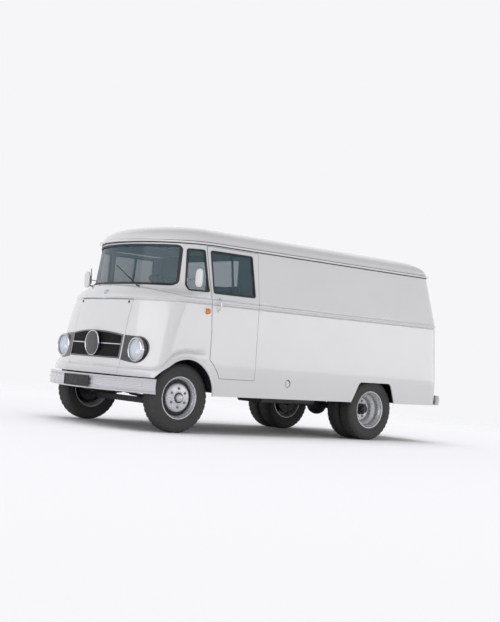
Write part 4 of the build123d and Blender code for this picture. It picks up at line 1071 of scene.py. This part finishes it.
# ------------------------------------------------------------------ wheels
class TRUCK_OT_tyres(TruckOperator, bpy.types.Operator):
    """Cross-ply tyres with zigzag grooves and shoulder cuts"""
    bl_idname = "truck.tyres"
    bl_label = "Tyres"

    def build(self, sizes):
        deep = sizes.tread_depth
        tread = [(-61, 359.5), (-48, 360.6), (-47, 360.6 - deep), (-41, 360.8 - deep), (-40, 361), (-17, 361.8),
                 (-16, 361.8 - deep), (-10, 362 - deep), (-9, 362)]
        wall = [(-69, 211), (-74, 219), (-79, 228), (-83, 238), (-87.5, 252), (-91, 268), (-92.4, 282), (-92.4, 296),
                (-91.2, 310), (-92.6, 313), (-92.6, 318), (-90, 322), (-88, 331), (-83, 342), (-76, 351),
                (-69, 356.5)]
        half = wall + tread
        outline = half + [(-a, r) for a, r in half[::-1]] + [(56, 230), (60, 285), (58, 335), (-58, 335), (-60, 285),
                                                             (-56, 230)]
        groove = {len(wall) + k for k in (1, 2, 3, 4, 5, 6, 7, 8)}
        count = len(half)
        groove |= {2 * count - 1 - k for k in groove}
        shoulder = {len(wall) + k for k in (-3, -2, -1, 0)}
        shoulder |= {2 * count - 1 - k for k in shoulder}

        def wave(i, k, offset, radius):
            if i in groove:
                offset += 3.2 * (1 if (k // 3) % 2 else -1)
            if i in shoulder and k % 6 in (0, 1):
                radius -= 6
            return offset, radius
        for side, sign in SIDES:
            x, y, z = FRONT_WHEEL
            front = Shape().spun(outline, (sign * x, y, z), 216, side=sign, wave=wave)
            keep(front.make("front_tyre_tread_" + side, finish("tyre_rubber"), "front_wheel_" + side, tipped=False),
                 "tyre_rubber", "front_tyre_" + side)
            x, y, z = REAR_WHEEL
            rear = Shape()
            for inward in (0, TWIN_GAP):
                rear.spun(outline, (sign * (x - inward), y, z), 216, side=sign, wave=wave)
            keep(rear.make("rear_tyre_treads_" + side, finish("tyre_rubber"), "rear_wheels_" + side, tipped=False),
                 "tyre_rubber", "rear_tyres_" + side)


RIM = [(-75, 222), (-77, 220), (-76.5, 215), (-73, 209.5), (-66, 206.5), (-52, 204), (-44, 198), (-30, 189), (-24, 188),
       (24, 188), (30, 189), (44, 198), (52, 204), (66, 206.5), (73, 209.5), (76.5, 215), (77, 220), (75, 222),
       (72.5, 221), (71.5, 216), (68, 211.5), (60, 209), (52, 207), (46, 203), (30, 194), (-30, 194), (-46, 203),
       (-60, 209), (-70, 213), (-72.5, 221)]


class TRUCK_OT_wheels(TruckOperator, bpy.types.Operator):
    """Steel wheels: raised silver front discs, deep rear discs, hubs, caps and nuts"""
    bl_idname = "truck.wheels"
    bl_label = "Wheels"

    def nuts(self, shape, face, circle, count, centre, sign):
        for k in range(count):
            t = 2 * math.pi * k / count + math.pi / 6
            shape.hexagon((centre[0] + sign * face, centre[1] + circle * math.cos(t),
                           centre[2] + circle * math.sin(t)), (sign, 0, 0), 14, 13)

    def build(self, sizes):
        inner_lip = [(40, 196), (46, 199.5), (52, 203), (56, 203.2), (52, 199), (44, 194), (38, 192)]
        recess = [(14, 187.5), (19, 187.5), (24, 176), (30, 160), (35, 146), (36, 138), (30, 138), (22, 158), (15, 178)]
        disc = [(34, 150), (40, 149), (48, 144), (53, 136), (55.5, 126), (57, 100), (58.5, 70), (61, 58), (64, 54),
                (64, 20), (58, 20), (52, 60), (48, 120), (42, 140)]
        cap = [(62, 0.5), (62, 40), (70, 41), (82, 40), (88, 36), (90, 30), (90.5, 24), (93, 20), (94, 10), (94.5, 0.5)]
        dark = [(62, 42), (66, 43), (68, 50), (66, 55), (62, 55)]
        drum = [(-34, 60), (-34, 142), (28, 142), (28, 60)]
        rear_disc = [(-98, 60), (-99, 118), (-94, 132), (-78, 144), (-60, 150), (-42, 164), (-26, 186), (-20, 187.5),
                     (-16, 184), (-30, 162), (-46, 146), (-62, 140), (-84, 132), (-90, 120), (-92, 60)]
        ribs = [(-40, 168), (-34, 176), (-28, 182), (-31, 184), (-40, 174)]
        hub = [(-260, 0.5), (-260, 62), (-100, 66), (-48, 66), (-44, 62), (-44, 50), (-20, 47), (-8, 44), (-4, 38),
               (-2, 30), (-2, 0.5)]
        rear_drum = [(-290, 60), (-290, 148), (-170, 148), (-170, 60)]
        for side, sign in SIDES:
            c = (sign * FRONT_WHEEL[0], FRONT_WHEEL[1], FRONT_WHEEL[2])
            body = "front_wheel_" + side
            bright = Shape().spun(RIM, c, 120, side=sign).spun(disc, c, 120, side=sign).spun(cap, c, 72, side=sign)
            bright.spun(inner_lip, c, 120, side=sign)
            keep(bright.make("front_rim_" + side, finish("silver_lacquer"), body, tipped=False), "wheel_paint",
                 "front_wheel_" + side)
            black = Shape().spun(recess, c, 120, side=sign).spun(dark, c, 72, side=sign)
            black.spun(drum, c, 72, side=sign)
            keep(black.make("front_wheel_recess_" + side, finish("bitumen_black"), body, tipped=False), "underbody")
            nuts = Shape()
            self.nuts(nuts, 56.5, 98, 6, c, sign)
            keep(nuts.make("front_wheel_nuts_" + side, finish("zinc_steel"), body, tipped=False), "lever_steel")
            c = (sign * REAR_WHEEL[0], REAR_WHEEL[1], REAR_WHEEL[2])
            far = (sign * (REAR_WHEEL[0] - TWIN_GAP), REAR_WHEEL[1], REAR_WHEEL[2])
            body = "rear_wheels_" + side
            bright = Shape().spun(RIM, c, 120, side=sign).spun(rear_disc, c, 120, side=sign)
            bright.spun(ribs, c, 120, side=sign)
            bright.spun(RIM, far, 96, side=sign).spun([(-a, r) for a, r in rear_disc[::-1]], far, 96, side=sign)
            keep(bright.make("rear_rims_" + side, finish("silver_lacquer"), body, tipped=False), "wheel_paint",
                 "rear_wheel_" + side)
            black = Shape().spun(hub, c, 72, side=sign).spun(rear_drum, c, 72, side=sign)
            keep(black.make("rear_hub_" + side, finish("bitumen_black"), body, tipped=False), "underbody")
            nuts = Shape()
            self.nuts(nuts, -93, 98, 8, c, sign)
            keep(nuts.make("rear_wheel_nuts_" + side, finish("zinc_steel"), body, tipped=False), "lever_steel")


# ------------------------------------------------------------------ small fittings
class TRUCK_OT_mirrors(TruckOperator, bpy.types.Operator):
    """Oval door mirrors on bent arms"""
    bl_idname = "truck.mirrors"
    bl_label = "Mirrors"

    def build(self, sizes):
        for side, sign in SIDES:
            body = "mirror_" + side
            arm = Shape().tube([(sign * x, y, z) for x, y, z in (
                (866, 40, 1592), (905, 38, 1594), (960, 34, 1600), (1010, 32, 1606), (1050, 30, 1608),
                (1080, 28, 1608))], 5.5, 14)
            arm.tube([(sign * 864, 40, 1574), (sign * 864, 40, 1610)], 9, 16)
            keep(arm.make("mirror_arm_" + side, finish("zinc_steel"), body), "lever_steel", "mirror_" + side)
            rows, glass = [], []

            def oval(share, y):
                return [(sign * (1076 + 57 * share * math.copysign(abs(math.cos(t)) ** 0.62, math.cos(t))), y,
                         1608 + 96 * share * math.copysign(abs(math.sin(t)) ** 0.62, math.sin(t)))
                        for t in np.linspace(0, 2 * math.pi, 56, endpoint=False)]
            for share, y in ((0.93, 29), (0.95, 32), (1.0, 31), (1.0, 26), (0.97, 20), (0.88, 14.5), (0.66, 10.5),
                             (0.35, 9), (0.03, 8.6)):
                rows.append(oval(share, y))
            head = Shape().grid(rows, close_v=True, cap=True)
            keep(head.make("mirror_shell_" + side, finish("enamel_white"), body, flip=sign > 0), "body_paint")
            for share, y in ((0.92, 28), (0.92, 30.5), (0.5, 30.6), (0.03, 30.6)):
                glass.append(oval(share, y))
            pane = Shape().grid(glass, close_v=True, cap=True)
            keep(pane.make("mirror_glass_" + side, finish("silvered_glass"), body, flip=sign < 0), "window_glass")


class TRUCK_OT_seats(TruckOperator, bpy.types.Operator):
    """Cab seats: crowned leathercloth cushions with sewn channels"""
    bl_idname = "truck.seats"
    bl_label = "Seats"

    def cushion(self, name, centre, size, tilt, replaced):
        made = bmesh.new()
        bmesh.ops.create_cube(made, size=1)
        bmesh.ops.subdivide_edges(made, edges=made.edges[:], cuts=23, use_grid_fill=True)
        for vert in made.verts:
            u, v, w = (c * 2 for c in vert.co)
            pull = 1 - 0.055 * (1 - u * u) * (abs(v) ** 6) - 0.055 * (1 - v * v) * (abs(u) ** 6)
            thick = 0.62 + 0.38 * (1 - u ** 6) * (1 - v ** 6)
            seam = sum(math.exp(-((u - k) / 0.035) ** 2) for k in (-0.5, -0.17, 0.17, 0.5)) * (abs(v) < 0.82)
            corner = 1 - 0.05 * (u * u * v * v) ** 3
            top = w * thick * (1 - 0.13 * seam * (w > 0.9))
            vert.co = Vector((u * size[0] / 2 * pull * corner, v * size[1] / 2 * pull * corner, top * size[2] / 2))
        turn = Matrix.Rotation(math.radians(tilt), 4, "X")
        bmesh.ops.transform(made, matrix=Matrix.Translation(Vector(centre)) @ turn, verts=made.verts[:])
        made.verts.index_update()
        points = [tuple(v.co) for v in made.verts]
        faces = [tuple(v.index for v in f.verts) for f in made.faces]
        made.free()
        obj = piece(name, points, faces, finish("leathercloth"), "van", crease=60)
        self.fill(obj)
        keep(obj, "seat_cover", *replaced)
        return obj

    def fill(self, obj):
        """Blows the cover out with a short cloth run, with its movement capped."""
        rest = np.array([v.co for v in obj.data.vertices])
        cloth = obj.modifiers.new("fill", "CLOTH")
        cloth.settings.quality = 4
        cloth.settings.use_pressure = True
        cloth.settings.uniform_pressure_force = 4
        cloth.settings.effector_weights.gravity = 0
        cloth.point_cache.frame_start, cloth.point_cache.frame_end = 1, 12
        scene = bpy.context.scene
        for step in range(1, 13):
            scene.frame_set(step)
        graph = bpy.context.evaluated_depsgraph_get()
        moved = np.array([v.co for v in obj.evaluated_get(graph).data.vertices])
        obj.modifiers.clear()
        scene.frame_set(1)
        shift = moved - rest
        length = np.linalg.norm(shift, axis=1)[:, None]
        cap = 0.009
        shift *= np.minimum(1, cap / np.maximum(length, 1e-9))
        obj.data.vertices.foreach_set("co", (rest + shift).ravel())
        obj.data.update()

    def build(self, sizes):
        for side, sign in SIDES:
            x = sign * 560
            self.cushion("seat_cushion_" + side, (x, 522, 1070), (446, 452, 112), 0,
                         ["seat_cushions"] if sign > 0 else [])
            self.cushion("seat_back_" + side, (x, 828, 1380), (446, 466, 84), 90 + 8, [])


class TRUCK_OT_cab_fittings(TruckOperator, bpy.types.Operator):
    """Glass, seals and the cab's carried-over parts, and the header band inside the windscreen"""
    bl_idname = "truck.cab_fittings"
    bl_label = "Cab fittings"

    def build(self, sizes):
        band = on_skin([(0, 1956), (762, 1956), (766, 1904), (0, 1876)], nose_s)
        header = both_halves(*panel_mesh(band, [], depth=10, extra=-24, rows=np.arange(1880, 1960, 12)))
        keep(piece("windscreen_header", *header, finish("vinyl_trim"), "van"), "cab_trim")
        # Pale panes over the bulkhead windows with a painted glow: painted light in place of the daylight seen through
        # those windows.
        panes = Shape()
        for x in (-287, 287):
            panes.block((x - 278, 976, 1556), (x + 278, 981, 1904), 2)
        keep(panes.make("bulkhead_frosted_panes", finish("pale_panes_painted_light"), "van"), "window_glass")
        dress("tinted_glass", "cab_glass", "door_glass_left", "door_glass_right", "sliding_pane_left",
              "sliding_pane_right")
        dress("epdm_rubber", "window_seals", "clutch_pedal", "brake_pedal", "accelerator_pedal")
        dress("vinyl_trim", "dashboard", "cab_floor")
        dress("primer_inner", "bulkhead")
        dress("plywood_board", "cargo_floor")
        dress("phenolic_black", "steering_wheel", "wiper_left", "wiper_right", "gear_lever", "handbrake_lever")
        dress("chrome_plate", "cab_door_handle_left", "cab_door_handle_right")
        dress("bitumen_black", "seat_frames", "wheel_housings")
        dress("enamel_white", "filler_cap")


class TRUCK_OT_chassis(TruckOperator, bpy.types.Operator):
    """Finishes of the frame, axles, springs, engine, exhaust and tank"""
    bl_idname = "truck.chassis"
    bl_label = "Chassis"

    def build(self, sizes):
        dress("bitumen_black", "chassis_frame", "axles", "fuel_tank", "prop_shaft", "tie_rod")
        dress("spring_steel", "leaf_springs")
        dress("cast_iron", "engine_gearbox", "steering_knuckle_left", "steering_knuckle_right")
        dress("exhaust_steel", "exhaust")


class TRUCK_OT_stage(TruckOperator, bpy.types.Operator):
    """Pale floor, soft studio light and the camera"""
    bl_idname = "truck.stage"
    bl_label = "Stage"

    def build(self, sizes):
        scene = bpy.context.scene
        colours = scene.truck_colours
        scene.view_settings.view_transform = "Standard"
        half = sizes.floor_half
        mesh = bpy.data.meshes.new("studio_floor")
        mesh.from_pydata([(-half, -half, 0), (half, -half, 0), (half, half, 0), (-half, half, 0)], [], [(0, 1, 2, 3)])
        floor = bpy.data.objects.new("studio_floor", mesh)
        scene.collection.objects.link(floor)
        material = bpy.data.materials.new("matt_studio_floor")
        material.use_nodes = True
        shader = material.node_tree.nodes["Principled BSDF"]
        shader.inputs["Base Color"].default_value = (*colours.floor, 1)
        shader.inputs["Roughness"].default_value = 0.9
        shader.inputs["Specular IOR Level"].default_value = 0.1
        tree = material.node_tree
        place = add(tree, "ShaderNodeTexCoord")
        away = add(tree, "ShaderNodeVectorMath", {"operation": "LENGTH"}, {0: place.outputs["Object"]})
        fade = add(tree, "ShaderNodeMapRange", {"From Min": FLOOR_FADE[0], "From Max": FLOOR_FADE[1],
                                                "To Min": 1.0, "To Max": 0.0,
                                                "interpolation_type": "SMOOTHSTEP"}, {"Value": away.outputs["Value"]})
        tree.links.new(fade.outputs[0], shader.inputs["Alpha"])
        mesh.materials.append(material)
        world = bpy.data.worlds.new("studio")
        world.use_nodes = True
        background = world.node_tree.nodes["Background"]
        background.inputs[1].default_value = 1.0
        sky = world.node_tree
        place = add(sky, "ShaderNodeTexCoord")
        parts = add(sky, "ShaderNodeSeparateXYZ", links={0: place.outputs["Generated"]})
        high = add(sky, "ShaderNodeMapRange", {"From Min": 0.36, "From Max": 0.9,
                                               "interpolation_type": "SMOOTHSTEP"}, {"Value": parts.outputs[2]})
        tone = add(sky, "ShaderNodeMix", {"data_type": "RGBA", 6: (*colours.backdrop, 1),
                                          7: (*linear("#B4B4B6"), 1)}, {0: high.outputs[0]})
        sky.links.new(tone.outputs[2], background.inputs[0])
        scene.world = world
        for name, at, size, power, aim in (
                ("nose_softbox", (1.0, -12.0, 3.6), (11.0, 6.0), 330, (0, -1, 0.8)),
                ("side_softbox", (9.5, 9.5, 1.9), (13.0, 2.4), 150, (1.0, 1.0, 1.0))):
            data = bpy.data.lights.new(name, "AREA")
            data.shape, data.size, data.size_y, data.energy = "RECTANGLE", size[0], size[1], power
            lamp = bpy.data.objects.new(name, data)
            lamp.location = at
            lamp.rotation_euler = (Vector(aim) - Vector(at)).to_track_quat("-Z", "Y").to_euler()
            lamp.visible_camera = False
            scene.collection.objects.link(lamp)
            others = bpy.data.collections.new(name + "_receivers")
            others.objects.link(floor)
            others.collection_objects[0].light_linking.link_state = "EXCLUDE"
            lamp.light_linking.receiver_collection = others
        data = bpy.data.lights.new("floor_light", "SUN")
        data.energy, data.angle = 1.38, math.radians(50)
        lamp = bpy.data.objects.new("floor_light", data)
        scene.collection.objects.link(lamp)
        only = bpy.data.collections.new("floor_only")
        only.objects.link(floor)
        lamp.light_linking.receiver_collection = only
        azimuth, lift, roll = CAMERA_AZIMUTH, CAMERA_LIFT, CAMERA_ROLL
        back = Vector((math.sin(azimuth) * math.cos(lift), -math.cos(azimuth) * math.cos(lift), math.sin(lift)))
        right = (-back).cross(Vector((0, 0, 1))).normalized()
        up = right.cross(-back)
        across = right * math.cos(roll) + up * math.sin(roll)
        above = up * math.cos(roll) - right * math.sin(roll)
        data = bpy.data.cameras.new("camera")
        data.sensor_width, data.lens = 36, CAMERA_LENS
        data.clip_end = 400
        camera = bpy.data.objects.new("camera", data)
        camera.matrix_world = Matrix((
            (across[0], above[0], back[0], CAMERA_AT[0]), (across[1], above[1], back[1], CAMERA_AT[1]),
            (across[2], above[2], back[2], CAMERA_AT[2]), (0, 0, 0, 1)))
        scene.collection.objects.link(camera)
        scene.camera = camera


STEPS = (TRUCK_OT_stage, TRUCK_OT_body_shell, TRUCK_OT_cab_doors, TRUCK_OT_bonnet_hatch, TRUCK_OT_rear_doors,
         TRUCK_OT_roof, TRUCK_OT_grille, TRUCK_OT_headlamps, TRUCK_OT_signal_lamps, TRUCK_OT_bumpers, TRUCK_OT_tyres,
         TRUCK_OT_wheels, TRUCK_OT_mirrors, TRUCK_OT_seats, TRUCK_OT_cab_fittings, TRUCK_OT_chassis)


class TRUCK_PT_panel(bpy.types.Panel):
    """Lists the building steps and their settings"""
    bl_idname = "TRUCK_PT_panel"
    bl_label = "Mail delivery truck"
    bl_space_type = "VIEW_3D"
    bl_region_type = "UI"
    bl_category = "Mail truck"

    def draw(self, context):
        for group in (context.scene.truck_sizes, context.scene.truck_colours):
            for name in group.__annotations__:
                self.layout.prop(group, name)
        for step in STEPS:
            self.layout.operator(step.bl_idname)


CLASSES = (TruckSizes, TruckColours) + STEPS + (TRUCK_PT_panel,)


def register():
    for item in CLASSES:
        bpy.utils.register_class(item)
    bpy.types.Scene.truck_sizes = bpy.props.PointerProperty(type=TruckSizes)
    bpy.types.Scene.truck_colours = bpy.props.PointerProperty(type=TruckColours)


def unregister():
    del bpy.types.Scene.truck_colours
    del bpy.types.Scene.truck_sizes
    for item in reversed(CLASSES):
        bpy.utils.unregister_class(item)


def main():
    register()
    for step in STEPS:
        group, name = step.bl_idname.split(".")
        getattr(getattr(bpy.ops, group), name)()


if __name__ == "__main__":
    main()
